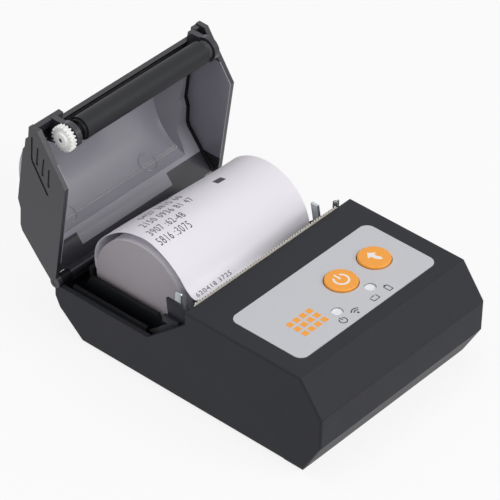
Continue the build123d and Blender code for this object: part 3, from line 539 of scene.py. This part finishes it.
@dataclass
class Cover:
    """Joints with their painted shade, grip lines and moulding marks of the cover, in millimetres of the
    shut cover.
    """

    frame: dict
    open_degrees: float = 83.0
    profile: tuple = (
        (9.9, 33.3), (29.55, 33.3), (32.6, 31.9), (38.4, 31.3), (39.7, 30.65), (46.7, 23.4), (50.4, 19.1),
    )
    joint_from: float = 35.0
    joint_to: float = 35.9
    joint_rise: float = 0.6
    lip: tuple = ((5.0, 32.55), (6.2, 32.82), (7.0, 32.82))
    lip_half: float = 33.0
    lip_rise: float = 0.2
    grip_lines: tuple = ((4.6, 28.4, 3.4), (7.6, 25.8, 4.4), (10.8, 26.6, 4.4))
    grip_half: float = 0.18
    grip_x: float = 36.12
    grip_rise: float = 0.14
    bulge_y: float = 26.3
    bulge_z: float = 22.6
    bulge_inner: float = 18.93
    mark_degrees: float = 23.0
    mark_places: tuple = (("left", -20.3), ("right", 16.1))
    mark_radius: float = 3.1
    mark_rise: float = 0.16

    def opened(self, x: float, y: float, z: float) -> Vector:
        """Move a place of the shut cover to the open one.

        Args:
            x: Across the width, in metres.
            y: Towards the hinge, in metres.
            z: Upwards, in metres.

        Returns:
            The place at rest.
        """
        hinge = Vector(next(j for j in self.frame["joints"] if j["name"] == "cover_hinge")["pos_m"])
        turn = Matrix.Rotation(-math.radians(self.open_degrees), 4, "X")
        return hinge + turn @ (Vector((x, y, z)) - hinge)

    def strip(self, path: tuple, left: float, right: float, rise: float) -> Piece:
        """Lay a strip of constant width along a side profile of the shut cover.

        Args:
            path: Profile points, y and z in millimetres.
            left: The strip's left edge, in millimetres.
            right: The strip's right edge, in millimetres.
            rise: Its thickness, in millimetres.

        Returns:
            The strip.
        """
        bpy.ops.mesh.primitive_grid_add(x_subdivisions=1, y_subdivisions=len(path) - 1, size=1.0)
        piece = bpy.context.object
        rows = sorted({round(v.co.y, 6) for v in piece.data.vertices})
        for vertex in piece.data.vertices:
            y, z = path[rows.index(round(vertex.co.y, 6))]
            x = left if vertex.co.x < 0 else right
            vertex.co = self.opened(x * MM, y * MM, z * MM)
        Workshop.modifier(piece, "SOLIDIFY", thickness=rise * MM, offset=0.0)
        return piece

    def grooves(self, dark: Material) -> None:
        """Lay dark strips of painted shade along the real joints between the window and the frame.

        Args:
            dark: The near-black finish, here painted shade in a deep joint.
        """
        # painted shade: dark strips laid over the side joints, where shade falls into the gaps
        for name, side in SIDES.items():
            left, right = sorted((side * self.joint_from, side * self.joint_to))
            piece = self.strip(self.profile, left, right, self.joint_rise)
            Workshop.finish(piece, f"window_joint_shade_{name}", dark, "cover", "dark_plastic")
        # painted shade: the same dark strip along the front joint by the lip
        piece = self.strip(self.lip, -self.lip_half, self.lip_half, self.lip_rise)
        Workshop.finish(piece, "window_joint_shade_front", dark, "cover", "dark_plastic")

    def grips(self, dark: Material) -> None:
        """Show the grip grooves through the inner face of the right side.

        Args:
            dark: The finish of a deep joint.
        """
        bars = []
        for y, foot, height in self.grip_lines:
            before, after, top = y - self.grip_half, y + self.grip_half, foot + height
            outline = [(before, foot), (after, foot), (after, top), (before, top)]
            bars.append(Workshop.upright(outline, self.grip_x, self.grip_rise, True))
        piece = Workshop.join(bars)
        for vertex in piece.data.vertices:
            vertex.co = self.opened(*vertex.co)
        Workshop.finish(piece, "grip_lines_right", dark, "cover", "dark_plastic")

    def marks(self, material: Material) -> None:
        """Raise the two round moulding marks inside the roll bulge.

        Args:
            material: The cover's finish.
        """
        angle = math.radians(self.mark_degrees)
        y = self.bulge_y + self.bulge_inner * math.cos(angle)
        z = self.bulge_z + self.bulge_inner * math.sin(angle)
        turn = Matrix.Rotation(angle - math.pi / 2 - math.radians(self.open_degrees), 4, "X")
        for name, x in self.mark_places:
            bpy.ops.mesh.primitive_torus_add(
                major_radius=self.mark_radius * MM, minor_radius=self.mark_rise * MM,
                major_segments=48, minor_segments=8,
            )
            piece = bpy.context.object
            for vertex in piece.data.vertices:
                vertex.co.z -= vertex.co.y ** 2 / (2 * self.bulge_inner * MM)
            piece.matrix_world = Matrix.Translation(self.opened(x * MM, y * MM, z * MM)) @ turn
            Workshop.finish(piece, f"mould_mark_{name}", material, "cover", "cover_smoke")


@dataclass
class PaperSupply:
    """The roll of paper and the printed sheet lying loose over it."""

    half_width: float = 28.75 * MM
    roll_y: float = 26.0 * MM
    roll_z: float = 22.4 * MM
    roll_radius: float = 17.85 * MM
    roll_corners: int = 144
    layer_rings: int = 12
    layer_width: float = 1.05 * MM
    layer_rise: float = 0.06 * MM
    sheet_thickness: float = 0.12 * MM
    steps_across: int = 24
    steps_along: int = 120
    sheet_length: float = 61.6 * MM
    pressed: float = 0.88
    figure_size: float = 3.45 * MM
    figure_cuts: int = 5
    figure_gap: float = 1.15
    figure_width: float = 0.8
    figure_thinning: float = -0.01 * MM
    ink_rise: float = 0.03 * MM
    rows: tuple = (
        ("0427 3815 60", -20.0, 0.43), ("2150 0936 81 47", -24.2, 0.495), ("3907 :62-48", -26.2, 0.56),
        ("5816 :3075", -26.8, 0.62), ("71 04", -9.0, 0.36), ("620418 3725", -27.2, 0.915),
    )
    block_size: tuple[float, float] = (3.6 * MM, 2.1 * MM)
    block_place: tuple[float, float] = (11.2, 0.455)
    loose_edge: tuple = (
        (44.05, 22.4), (44.6, 26.0), (44.3, 29.8), (42.9, 33.2), (39.9, 36.9), (34.2, 41.2), (28.2, 43.3),
        (22.1, 43.5), (16.1, 41.0), (10.9, 37.2), (7.4, 33.3), (4.2, 31.6), (0.8, 33.9),
    )
    tight_radius: float = 18.1
    tight_angles: tuple = (0, 14, 30, 38, 52, 70, 88, 105, 122, 138, 152, 166, 177)

    def tight_edge(self) -> list[tuple[float, float]]:
        """Work out the points of the edge that hugs the roll.

        Returns:
            The points, in millimetres.
        """
        turns = [math.radians(angle) for angle in self.tight_angles]
        y, z = self.roll_y / MM, self.roll_z / MM
        return [(y + self.tight_radius * math.cos(a), z + self.tight_radius * math.sin(a)) for a in turns]

    def curve(self, points: list | tuple, share: float) -> tuple[float, float]:
        """Read a smooth curve through points.

        Args:
            points: The curve's points.
            share: Where to read it, from 0 to 1.

        Returns:
            The place there, in millimetres.
        """
        last = len(points) - 1
        spot = min(share * last, last - 1e-6)
        step = int(spot)
        t = spot - step
        around = [points[min(max(step + k, 0), last)] for k in (-1, 0, 1, 2)]
        weights = (
            -0.5 * t + t * t - 0.5 * t ** 3,
            1 - 2.5 * t * t + 1.5 * t ** 3,
            0.5 * t + 2 * t * t - 1.5 * t ** 3,
            -0.5 * t * t + 0.5 * t ** 3,
        )
        return tuple(sum(w * p[axis] for w, p in zip(weights, around)) for axis in (0, 1))

    def place(self, across: float, along: float) -> Vector:
        """Give a place on the loose sheet's middle.

        Args:
            across: Share of the width, from 0 to 1.
            along: Share of the length, from 0 at the roll to 1 at the tear bar.

        Returns:
            The place in metres.
        """
        ease = across * across * (3 - 2 * across)
        loose = self.curve(self.loose_edge, along)
        tight = self.curve(self.tight_edge(), along)
        y, z = (a + (b - a) * ease for a, b in zip(loose, tight))
        return Vector(((2 * across - 1) * self.half_width, y * MM, z * MM))

    def flatten(self, piece: Piece) -> None:
        """Give the sheet, or a print on it, a mesh of its own."""
        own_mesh(piece)

    def wrap(self, piece: Piece, x: float, along: float) -> None:
        """Bend a flat print onto the sheet.

        Args:
            piece: The print, flat in the XY plane.
            x: Where its own zero lies across the width, in millimetres.
            along: Where its own zero lies along the sheet, from 0 to 1.
        """
        step = 0.004
        for vertex in piece.data.vertices:
            across = ((x * MM + vertex.co.x) / self.half_width + 1) / 2
            share = along - vertex.co.y / self.sheet_length
            here = self.place(across, share)
            run = self.place(across, share + step) - self.place(across, share - step)
            rise = Vector((0.0, run.z, -run.y)).normalized()
            vertex.co = here + rise * (self.sheet_thickness / 2 + self.ink_rise)

    def figures(self, text: str) -> Piece:
        """Write a row of figures as a flat mesh with enough corners to bend.

        Args:
            text: The figures.

        Returns:
            The row.
        """
        Workshop.deselect()
        bpy.ops.object.text_add()
        data = bpy.context.object.data
        data.body = text
        data.size = self.figure_size
        data.resolution_u = 3
        data.space_character = self.figure_gap
        data.offset = self.figure_thinning
        bpy.ops.object.convert(target="MESH")
        piece = bpy.context.object
        bpy.ops.object.mode_set(mode="EDIT")
        for cut in range(1, self.figure_cuts + 1):
            height = cut * self.figure_size / 8
            bpy.ops.mesh.select_all(action="SELECT")
            bpy.ops.mesh.bisect(plane_co=(0.0, height, 0.0), plane_no=(0.0, 1.0, 0.0))
        bpy.ops.object.mode_set(mode="OBJECT")
        for vertex in piece.data.vertices:
            vertex.co.x *= self.figure_width
        return piece

    def numbers(self, ink: Material) -> None:
        """Print rows of plain numbers and one small block on the sheet.

        Args:
            ink: The thermal print's colour.
        """
        for count, (text, x, along) in enumerate(self.rows, start=1):
            piece = self.figures(text)
            self.wrap(piece, x, along)
            self.lay(piece, f"printed_row_{count}", ink)
        bpy.ops.mesh.primitive_grid_add(x_subdivisions=4, y_subdivisions=4, size=1.0)
        piece = bpy.context.object
        width, height = self.block_size
        for vertex in piece.data.vertices:
            vertex.co = Vector((vertex.co.x * width, vertex.co.y * height, 0.0))
        self.wrap(piece, *self.block_place)
        self.lay(piece, "printed_block", ink)

    def lay(self, piece: Piece, name: str, ink: Material) -> None:
        """Give a wrapped print its body and a mesh of its own.

        Args:
            piece: The print on the sheet.
            name: Its name.
            ink: The thermal print's colour.
        """
        Workshop.modifier(piece, "SOLIDIFY", thickness=self.ink_rise, offset=0.0)
        Workshop.finish(piece, name, ink, "base", "dark_plastic")
        self.flatten(piece)

    def sheet(self, paper: Material) -> None:
        """Shape the loose sheet between its two edges.

        Args:
            paper: The printed paper.
        """
        bpy.ops.mesh.primitive_grid_add(
            x_subdivisions=self.steps_across, y_subdivisions=self.steps_along, size=2.0
        )
        piece = bpy.context.object
        for vertex in piece.data.vertices:
            vertex.co = self.place((vertex.co.x + 1) / 2, (vertex.co.y + 1) / 2)
        Workshop.modifier(piece, "SOLIDIFY", thickness=self.sheet_thickness, offset=0.0)
        Workshop.smooth(piece, 60.0)
        Workshop.finish(piece, "loose_sheet", paper, "base", "paper_white")
        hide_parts("paper_strip")
        self.flatten(piece)

    def roll(self, paper: Material, ends: Material) -> None:
        """Wind the roll, with its layers showing at both ends.

        Args:
            paper: The paper's outer face.
            ends: The cut layers, grey with painted shade.
        """
        span = (-self.half_width, self.half_width)
        centre = Vector((0.0, self.roll_y, self.roll_z))
        piece = Workshop.rod(span, centre, self.roll_radius, self.roll_corners)
        bpy.ops.object.mode_set(mode="EDIT")
        for side in SIDES.values():
            Workshop.pick_faces(piece, lambda face: face.normal.x * side > 0.9)
            for ring in range(self.layer_rings):
                rise = self.layer_rise if ring % 2 else -self.layer_rise
                bpy.ops.mesh.inset(thickness=self.layer_width, depth=rise)
        bpy.ops.object.mode_set(mode="OBJECT")
        Workshop.smooth(piece, 30.0)
        Workshop.finish(piece, "wound_roll", paper, "roll", "paper_white")
        # painted shade: both end faces get a grey tone that stands in for the shade on the side turned from
        # the lamps
        piece.data.materials.append(ends)
        for face in piece.data.polygons:
            if abs(face.center.x) > self.half_width - 0.4 * MM:
                face.material_index = 1
        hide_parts("paper_roll")


class Finishes:
    """All finishes, each built once, and the CAD nodes they go on."""

    def __init__(self) -> None:
        """Build every finish."""
        made = {
            "housing": HousingWithPaintedBayShade(
                "Charcoal housing with painted bay shade", Tone.HOUSING, grain_size=0.35, grain_depth=0.03, specular=0.2
            ),
            "cover": SmokedCover("Smoked cover with painted backlight", Tone.COVER_FRAME, 0.2, grain_size=0.9, grain_depth=0.004),
            "dark": Finish("Bay black", Tone.SHADOW_PLASTIC, specular=0.25),
            "film": Finish("Keypad film", Tone.FILM, 0.42, 0.0, 0.25, 0.01, 0.02),
            "orange": Finish("Orange key", Tone.ORANGE, 0.4, 0.0, 0.25, 0.01, 0.03),
            "white_ink": Finish("White print", Tone.WHITE_PRINT, mottle=0.02),
            "dark_ink": Finish("Grey print", Tone.DARK_PRINT, mottle=0.05),
            "thermal_ink": Finish("Thermal print", Tone.THERMAL_PRINT, 0.6, mottle=0.1),
            "lens": Finish("Lamp window", Tone.LENS, 0.3, mottle=0.02),
            "ends": Finish("Cut paper layers in painted shade", Tone.PAPER_END, 0.8, 0.0, 0.18, 0.03, 0.05),
            "sheet": Finish("Thermal sheet", Tone.PAPER, 0.6, 0.0, 0.2, 0.008, 0.012),
            "black_steel": Finish("Blackened steel", Tone.BLACK_STEEL, 0.4, 1.0, mottle=0.08),
            "tear_edge_glint": Finish("Tear edge painted glint", Tone.TEAR_EDGE, 0.35, 0.1),
            "paper": Finish("Blank paper", Tone.PAPER, 0.62, 0.0, 0.2, 0.01, 0.01),
            "rubber": Finish("Platen rubber", Tone.RUBBER, 0.55, 0.0, 0.3, 0.02, 0.1, specular=0.3),
            "acetal": Finish("White acetal", Tone.ACETAL, 0.36, 0.0, 0.6, 0.01, 0.03),
            "bush": Finish("Bush grey", Tone.BUSH, 0.45, mottle=0.08),
            "steel": Finish("Cut steel", Tone.STEEL, 0.28, 1.0, 0.5, 0.01, 0.05, (0.2, 1.0, 1.0)),
            "zinc": Finish("Zinc plate", Tone.ZINC, 0.36, 0.75, 1.2, 0.02, 0.1),
            "aluminium": Finish("Milled aluminium", Tone.ALUMINIUM, 0.35, 1.0, stretch=(0.1, 1.0, 1.0)),
            "ceramic": Finish("Glazed ceramic", Tone.CERAMIC, 0.2, mottle=0.03),
            "board": Finish("Solder mask", Tone.BOARD, 0.35, mottle=0.12),
            "wrap": Finish("Shrink film", Tone.WRAP, 0.3, mottle=0.05),
            "gold": Finish("Gold plate", Tone.GOLD, 0.25, 1.0),
            "amber": Finish("Cable film", Tone.AMBER, 0.3),
        }
        self.materials = {key: finish.build() for key, finish in made.items()}
        self.nodes = {
            "housing": ("lower_housing", "upper_housing", "battery_door"),
            "cover": ("top_cover",),
            "dark": (
                "paper_tray", "platen_collar", "print_head_frame", "gear_guard", "paper_sensor",
                "tact_switches",
            ),
            "film": ("keypad_overlay",),
            "orange": ("power_button", "feed_button"),
            "lens": ("light_pipes", "status_leds"),
            "rubber": ("platen_roller", "rubber_feet"),
            "acetal": ("platen_gear", "idler_gear", "motor_pinion"),
            "bush": ("platen_bush_left", "platen_bush_right"),
            "black_steel": ("hinge_pins",),
            "steel": (
                "tear_bar", "platen_shaft", "housing_screws", "door_screw", "head_springs", "motor_shaft",
                "idler_shaft", "mechanism_screws", "charging_socket", "board_screws",
            ),
            "zinc": (
                "head_bracket_left", "head_bracket_right", "stepper_motor", "motor_plate", "radio_module",
            ),
            "aluminium": ("heat_sink",),
            "ceramic": ("thermal_head",),
            "board": ("main_board", "keypad_board"),
            "wrap": ("battery_pack",),
            "gold": ("battery_contacts",),
            "amber": ("head_cable",),
            "paper": ("paper_roll", "paper_strip"),
        }

    def dress(self, frame: dict) -> None:
        """Give every CAD node its finish.
        """
        for key, names in self.nodes.items():
            for name in names:
                node = frame["nodes"][name]
                if not node.material_slots:
                    node.data.materials.append(None)
                for slot in node.material_slots:
                    slot.material = self.materials[key]
        LOG.info("dressed %d nodes", sum(len(names) for names in self.nodes.values()))


@dataclass(frozen=True)
class Legends:
    """Signs printed flat on the keypad film and on its two keys."""

    ink: float = 0.04 * MM

    @staticmethod
    def arc(x: float, y: float, inner: float, outer: float, start: float, end: float) -> list:
        """Outline of a thick arc.

        Args:
            x: Centre across, in millimetres.
            y: Centre along, in millimetres.
            inner: Inner radius.
            outer: Outer radius.
            start: First angle in degrees.
            end: Last angle in degrees.

        Returns:
            Its corners in metres.
        """
        steps = 24
        angles = [math.radians(start + (end - start) * k / steps) for k in range(steps + 1)]
        ring = [(x + outer * math.cos(a), y + outer * math.sin(a)) for a in angles]
        ring += [(x + inner * math.cos(a), y + inner * math.sin(a)) for a in reversed(angles)]
        return [(a * MM, b * MM) for a, b in ring]

    @staticmethod
    def bar(x: float, y: float, width: float, height: float) -> list:
        """Outline of a bar in metres, from its centre and size in millimetres."""
        corners = ((-1, -1), (1, -1), (1, 1), (-1, 1))
        return [((x + a * width / 2) * MM, (y + b * height / 2) * MM) for a, b in corners]

    def lay(self, name: str, outlines: list, top: float, material: Material, body: str, slot: str) -> None:
        """Print a sign.

        Args:
            name: The sign's name.
            outlines: Its separate shapes.
            top: Height of the surface below it, in metres.
            material: The ink.
            body: The moving body it rides on.
            slot: The record's material slot.
        """
        plates = [Workshop.plate(outline, self.ink) for outline in outlines]
        piece = Workshop.join(plates) if len(plates) > 1 else plates[0]
        piece.location.z = top
        Workshop.finish(piece, name, material, body, slot)


@dataclass
class Keypad:
    """The printed signs, each generic, in millimetres."""

    finishes: Finishes
    legends: Legends = Legends()
    arrow: tuple = (
        (-0.2, 2.7), (-2.1, 0.7), (-0.8, 0.7), (-0.7, -0.6), (-0.2, -1.7),
        (0.8, -2.6), (1.3, -1.6), (0.8, -0.7), (0.6, 0.7), (1.8, 0.7),
    )
    squares_place: tuple[float, float] = (-17.0, -29.4)
    square_pitch: float = 2.9
    square_side: float = 2.0
    signs_y: float = -36.6
    line: float = 0.3

    def build(self) -> None:
        """Print the film and the keys."""
        film_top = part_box("keypad_overlay")[1].z
        key_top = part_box("power_button")[1].z
        materials = self.finishes.materials
        white = materials["white_ink"]
        lay = self.legends.lay
        lay("power_sign", self.power_sign(), key_top, white, "power_key", "lens_white")
        lay("feed_sign", self.feed_sign(), key_top, white, "feed_key", "lens_white")
        lay("plain_squares", self.squares(), film_top, materials["orange"], "base", "key_orange")
        lay("small_signs", self.small_signs(), film_top, materials["dark_ink"], "base", "dark_plastic")

    def centre(self, node: str) -> tuple[float, float]:
        """Give the middle of a node's box, across and along, in millimetres."""
        low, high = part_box(node)
        return (low.x + high.x) / 2 / MM, (low.y + high.y) / 2 / MM

    def power_sign(self) -> list:
        """Shapes of the power sign: an open ring with a bar in its gap."""
        x, y = self.centre("power_button")
        return [self.legends.arc(x, y, 2.0, 2.65, -235.0, 55.0), self.legends.bar(x, y + 1.6, 0.65, 2.6)]

    def feed_sign(self) -> list:
        """Shapes of the feed sign: a bent arrow."""
        x, y = self.centre("feed_button")
        return [[((x + a) * MM, (y + b) * MM) for a, b in self.arrow]]

    def squares(self) -> list:
        """Shapes of a plain pattern of small squares.

        Returns:
            The shapes.
        """
        x, y = self.squares_place
        pitch, side = self.square_pitch, self.square_side
        return [
            Legends.bar(x + (column - 1.5) * pitch, y + (row - 1) * pitch, side, side)
            for column in range(4)
            for row in range(3)
        ]

    def small_signs(self) -> list:
        """Shapes of the small grey signs beside the lamps: power, radio, paper and battery.

        Returns:
            The shapes.
        """
        arc, bar, y, line = self.legends.arc, self.legends.bar, self.signs_y, self.line
        signs = [arc(-9.2, y, 1.05, 1.4, -240.0, 60.0), bar(-9.2, y + 0.9, 0.35, 1.5)]
        signs += [arc(-3.4, y - 0.9, r, r + 0.4, 40.0, 140.0) for r in (1.0, 1.9)]
        signs += [arc(-3.4, y - 0.9, 0.01, 0.4, 0.0, 350.0)]
        signs += [bar(5.2, y - 1.0, 2.6, line), bar(5.2, y + 0.8, 1.4, line)]
        signs += [bar(x, y - 0.1, line, 1.8) for x in (3.9, 6.5)]
        signs += [bar(11.6, y + rise, 1.6, line) for rise in (-1.2, 1.2)]
        signs += [bar(x, y, line, 2.4) for x in (10.8, 12.4)]
        signs += [bar(11.6, y + 1.55, 0.8, line)]
        return signs


@dataclass
class SmallParts:
    """Dress of the small hardware that shows beside the paper mouth, in millimetres."""

    finishes: Finishes
    spring_foot: tuple[float, float, float] = (35.0, 3.2, 29.6)
    spring_radius: float = 0.85
    spring_wire: float = 0.18
    spring_pitch: float = 0.62
    spring_turns: int = 6
    spring_pressed: float = 0.4
    boss_radius: float = 2.5
    boss_height: float = 0.85
    boss_sunk: float = 0.1
    boss_rim: float = 1.55
    boss_hole: float = 0.9
    boss_depth: float = 0.45
    guard_tab: tuple = (
        (-13.25, 2.6), (-13.25, 18.75), (-6.0, 26.2), (0.9, 26.2), (0.9, 31.5), (4.5, 31.6), (5.6, 32.5),
        (10.5, 32.5), (9.7, 27.0), (9.3, 22.0), (7.0, 17.0), (7.0, 2.6),
    )
    guard_start: float = -34.6
    guard_thickness: float = 1.0
    ledge: tuple = ((4.4, 24.4), (4.4, 26.7), (10.6, 26.7), (10.6, 24.4))
    ledge_start: float = -36.0
    ledge_thickness: float = 1.5
    latch: tuple = ((7.9, 12.0), (7.9, 32.1), (8.3, 32.6), (10.0, 32.6), (10.4, 32.1), (10.4, 12.0))
    latch_start: float = -30.67
    latch_thickness: float = 0.7
    edge_left: float = -33.7
    edge_right: float = 31.7
    edge_foot: float = 33.4
    edge_start: float = -0.27
    edge_thickness: float = 0.36
    tooth_pitch: float = 1.2
    tooth_root: float = 34.55
    tooth_top: float = 35.5
    tooth_crown: tuple[float, float] = (0.42, 0.78)
    backing_top: float = 35.15
    backing_chamfer: tuple[float, float] = (0.3, 0.15)
    backing_start: float = 0.1
    backing_thickness: float = 0.16
    screw_place: tuple[float, float, float] = (-34.9, 9.9, 21.6)
    screw_radius: float = 0.5
    screw_height: float = 1.5

    def coil(self) -> None:
        """Wind the small upright spring outside the right bracket, which the shut cover presses down."""
        bpy.ops.mesh.primitive_circle_add(
            vertices=10, radius=self.spring_wire * MM,
            location=(self.spring_radius * MM, 0.0, 0.0), rotation=(math.pi / 2, 0.0, 0.0),
        )
        piece = bpy.context.object
        Workshop.settle(piece)
        Workshop.modifier(
            piece, "SCREW", screw_offset=self.spring_pitch * MM, iterations=self.spring_turns,
            steps=28, render_steps=28, axis="Z", use_normal_calculate=True,
        )
        foot = tuple(v * MM for v in self.spring_foot)
        piece.location = foot
        Workshop.smooth(piece, 60.0)
        Workshop.finish(piece, "latch_spring_right", self.finishes.materials["black_steel"], "base", "steel")
        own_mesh(piece)

    def gear_boss(self) -> None:
        """Cap the platen gear with its moulded boss and the small dimple in the middle."""
        low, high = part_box("platen_gear")
        centre = (low + high) / 2
        outer = low.x - self.boss_height * MM
        piece = Workshop.rod((outer, low.x + self.boss_sunk * MM), centre, self.boss_radius * MM, 48)
        Workshop.round_edges(piece, 0.12)
        bpy.ops.object.mode_set(mode="EDIT")
        Workshop.pick_faces(piece, lambda face: face.normal.x < -0.99)
        bpy.ops.mesh.inset(thickness=self.boss_rim * MM, depth=0.0)
        bpy.ops.mesh.inset(thickness=0.02 * MM, depth=-self.boss_depth * MM)
        bpy.ops.object.mode_set(mode="OBJECT")
        Workshop.smooth(piece, 35.0)
        Workshop.finish(piece, "gear_boss", self.finishes.materials["acetal"], "platen", "gear_white")
        piece.data.materials.append(self.finishes.materials["black_steel"])
        for face in piece.data.polygons:
            spot = face.center - Vector((outer, centre.y, centre.z))
            sunk = spot.x > 0.1 * MM and face.normal.x < -0.5
            if sunk and math.hypot(spot.y, spot.z) < self.boss_hole * MM:
                face.material_index = 1

    def guard(self) -> None:
        """Shape the gear guard with its raised tab and the ledge beside it."""
        plate = Workshop.upright(self.guard_tab, self.guard_start, self.guard_thickness, True)
        ledge = Workshop.upright(self.ledge, self.ledge_start, self.ledge_thickness, True)
        piece = Workshop.join([plate, ledge])
        Workshop.round_edges(piece, 0.15)
        Workshop.smooth(piece, 30.0)
        Workshop.finish(piece, "guard_plate", self.finishes.materials["housing"], "base", "dark_plastic")
        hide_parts("gear_guard")

    def latch_tab(self) -> None:
        """Stand the bright latch tab against the tray's left wall."""
        piece = Workshop.upright(self.latch, self.latch_start, self.latch_thickness, True)
        Workshop.round_edges(piece, 0.12)
        Workshop.finish(piece, "latch_tab_left", self.finishes.materials["zinc"], "base", "zinc")

    def teeth(self) -> None:
        """Cut the saw edge that stands above the deck, bright with a painted glint, and the dark strip
        behind it.
        """
        left, right, foot, root = self.edge_left, self.edge_right, self.edge_foot, self.tooth_root
        count = int((right - left) / self.tooth_pitch)
        outline = [(left, foot)]
        for start in (left + tooth * self.tooth_pitch for tooth in range(count)):
            outline += [(start, root), *((start + crown, self.tooth_top) for crown in self.tooth_crown)]
        outline += [(left + count * self.tooth_pitch, root), (right, root), (right, foot)]
        piece = Workshop.upright(outline, self.edge_start, self.edge_thickness, False)
        # painted glint: the steel teeth get a near-white, barely metallic tone
        Workshop.finish(piece, "saw_edge", self.finishes.materials["tear_edge_glint"], "base", "steel")
        top, (in_by, down_by) = self.backing_top, self.backing_chamfer
        backing = [
            (left, foot), (right, foot), (right, top - down_by),
            (right - in_by, top), (left + in_by, top), (left, top - down_by),
        ]
        piece = Workshop.upright(backing, self.backing_start, self.backing_thickness, False)
        Workshop.finish(piece, "saw_backing", self.finishes.materials["dark"], "base", "dark_plastic")

    def flange_screw(self) -> None:
        """Set the bright screw in the left flange below the guard's ledge."""
        bpy.ops.mesh.primitive_uv_sphere_add(
            segments=24, ring_count=12, radius=self.screw_radius * MM,
            location=tuple(v * MM for v in self.screw_place),
        )
        piece = bpy.context.object
        piece.scale = (1.0, 1.0, self.screw_height)
        Workshop.smooth(piece, 60.0)
        Workshop.finish(piece, "flange_screw", self.finishes.materials["steel"], "base", "steel")

    def build(self) -> None:
        """Make every small part."""
        self.coil()
        self.guard()
        self.latch_tab()
        self.teeth()
        self.gear_boss()
        self.flange_screw()


@dataclass
class Studio:
    """Floor, lamps, world and the camera at the photograph's place."""

    lens: float = 259.04
    place: tuple[float, float, float] = (-0.6539, -0.5424, 0.6974)
    right: tuple[float, float, float] = (0.6567, -0.7538, 0.0223)
    up: tuple[float, float, float] = (0.4518, 0.4169, 0.7887)
    aim: tuple[float, float, float] = (0.0, 0.0, 0.02)
    sky: float = 0.30
    floor_colour: tuple[float, float, float, float] = (0.86, 0.86, 0.87, 1.0)
    floor_glow: float = 0.86
    lamp_rows: tuple = (
        ("Key lamp", (0.35, -0.95, 0.75), 0.7, 7.0),
        ("Top lamp", (-0.2, 0.15, 1.2), 0.9, 4.6),
        ("Left lamp", (-1.0, -0.2, 0.5), 0.6, 1.4),
    )

    def camera(self) -> None:
        """Make the camera and choose it."""
        data = bpy.data.cameras.new("Photograph camera")
        data.lens = self.lens
        data.sensor_width = 36.0
        data.clip_start = 0.01
        data.clip_end = 20.0
        camera = bpy.data.objects.new("Photograph camera", data)
        bpy.context.collection.objects.link(camera)
        right = Vector(self.right).normalized()
        up = Vector(self.up)
        up = (up - right * up.dot(right)).normalized()
        turn = Matrix((right, up, right.cross(up))).transposed().to_4x4()
        camera.matrix_world = Matrix.Translation(Vector(self.place)) @ turn
        bpy.context.scene.camera = camera

    def lamp(self, name: str, place: tuple[float, float, float], size: float, power: float) -> None:
        """Hang a soft square lamp that faces the object.

        Args:
            name: The lamp's name.
            place: Where it hangs, in metres.
            size: Its width, in metres.
            power: Its strength, in watts.
        """
        data = bpy.data.lights.new(name, "AREA")
        data.size = size
        data.energy = power
        lamp = bpy.data.objects.new(name, data)
        bpy.context.collection.objects.link(lamp)
        lamp.location = place
        lamp.rotation_mode = "QUATERNION"
        lamp.rotation_quaternion = (Vector(self.aim) - Vector(place)).to_track_quat("-Z", "Y")

    @staticmethod
    def seen(mixer: Mixer) -> Socket:
        """Tell the rays of the eye, of reflections and of clear parts from those of light.

        Args:
            mixer: The tree of the world or of a material.

        Returns:
            A socket that is one for such rays.
        """
        path = mixer.add("LightPath").outputs
        most = mixer.maths("MAXIMUM", path["Is Camera Ray"], path["Is Glossy Ray"])
        return mixer.maths("MAXIMUM", most, path["Is Transmission Ray"])

    def world(self) -> None:
        """Make the surroundings: white to the eye and in reflections, grey as light."""
        world = bpy.data.worlds.new("Studio")
        world.use_nodes = True
        bpy.context.scene.world = world
        mixer = Mixer(world.node_tree)
        ground = world.node_tree.nodes["Background"]
        ground.inputs["Color"].default_value = (1.0, 1.0, 1.0, 1.0)
        strength = mixer.add("MapRange", Value=self.seen(mixer), To_Min=self.sky, To_Max=1.0)
        mixer.fill(ground.inputs["Strength"], strength.outputs["Result"])

    def floor(self) -> None:
        """Lay the pale floor."""
        bpy.ops.mesh.primitive_plane_add(size=6.0, location=(0.0, 0.0, -0.0002))
        plane = bpy.context.object
        plane.name = "Floor"
        material = bpy.data.materials.new("Pale floor")
        material.use_nodes = True
        mixer = Mixer(material.node_tree)
        nodes = material.node_tree.nodes
        shader = nodes["Principled BSDF"]
        shader.inputs["Base Color"].default_value = self.floor_colour
        shader.inputs["Roughness"].default_value = 0.9
        glow = mixer.add("Emission", Strength=1.0)
        share = mixer.maths("MULTIPLY", self.seen(mixer), self.floor_glow)
        mix = mixer.add("MixShader", Fac=share)
        mixer.fill(mix.inputs[1], shader.outputs["BSDF"])
        mixer.fill(mix.inputs[2], glow.outputs["Emission"])
        mixer.fill(nodes["Material Output"].inputs["Surface"], mix.outputs["Shader"])
        plane.data.materials.append(material)

    def build(self) -> None:
        """Set up the whole studio."""
        bpy.context.scene.view_settings.view_transform = "Standard"
        self.camera()
        for row in self.lamp_rows:
            self.lamp(*row)
        self.world()
        self.floor()


def main(frame: dict) -> None:
    """Build the dress in order.
    """
    logging.basicConfig(level=logging.INFO, format="%(name)s: %(message)s")
    finishes = Finishes()
    finishes.dress(frame)
    Studio().build()
    supply = PaperSupply()
    supply.sheet(finishes.materials["sheet"])
    supply.numbers(finishes.materials["thermal_ink"])
    supply.roll(finishes.materials["paper"], finishes.materials["ends"])
    cover = Cover(frame)
    cover.grooves(finishes.materials["dark"])
    cover.marks(finishes.materials["cover"])
    cover.grips(finishes.materials["dark"])
    Keypad(finishes).build()
    SmallParts(finishes).build()


if __name__ == "__main__":
    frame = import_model()
    Workshop.deselect()
    main(frame)
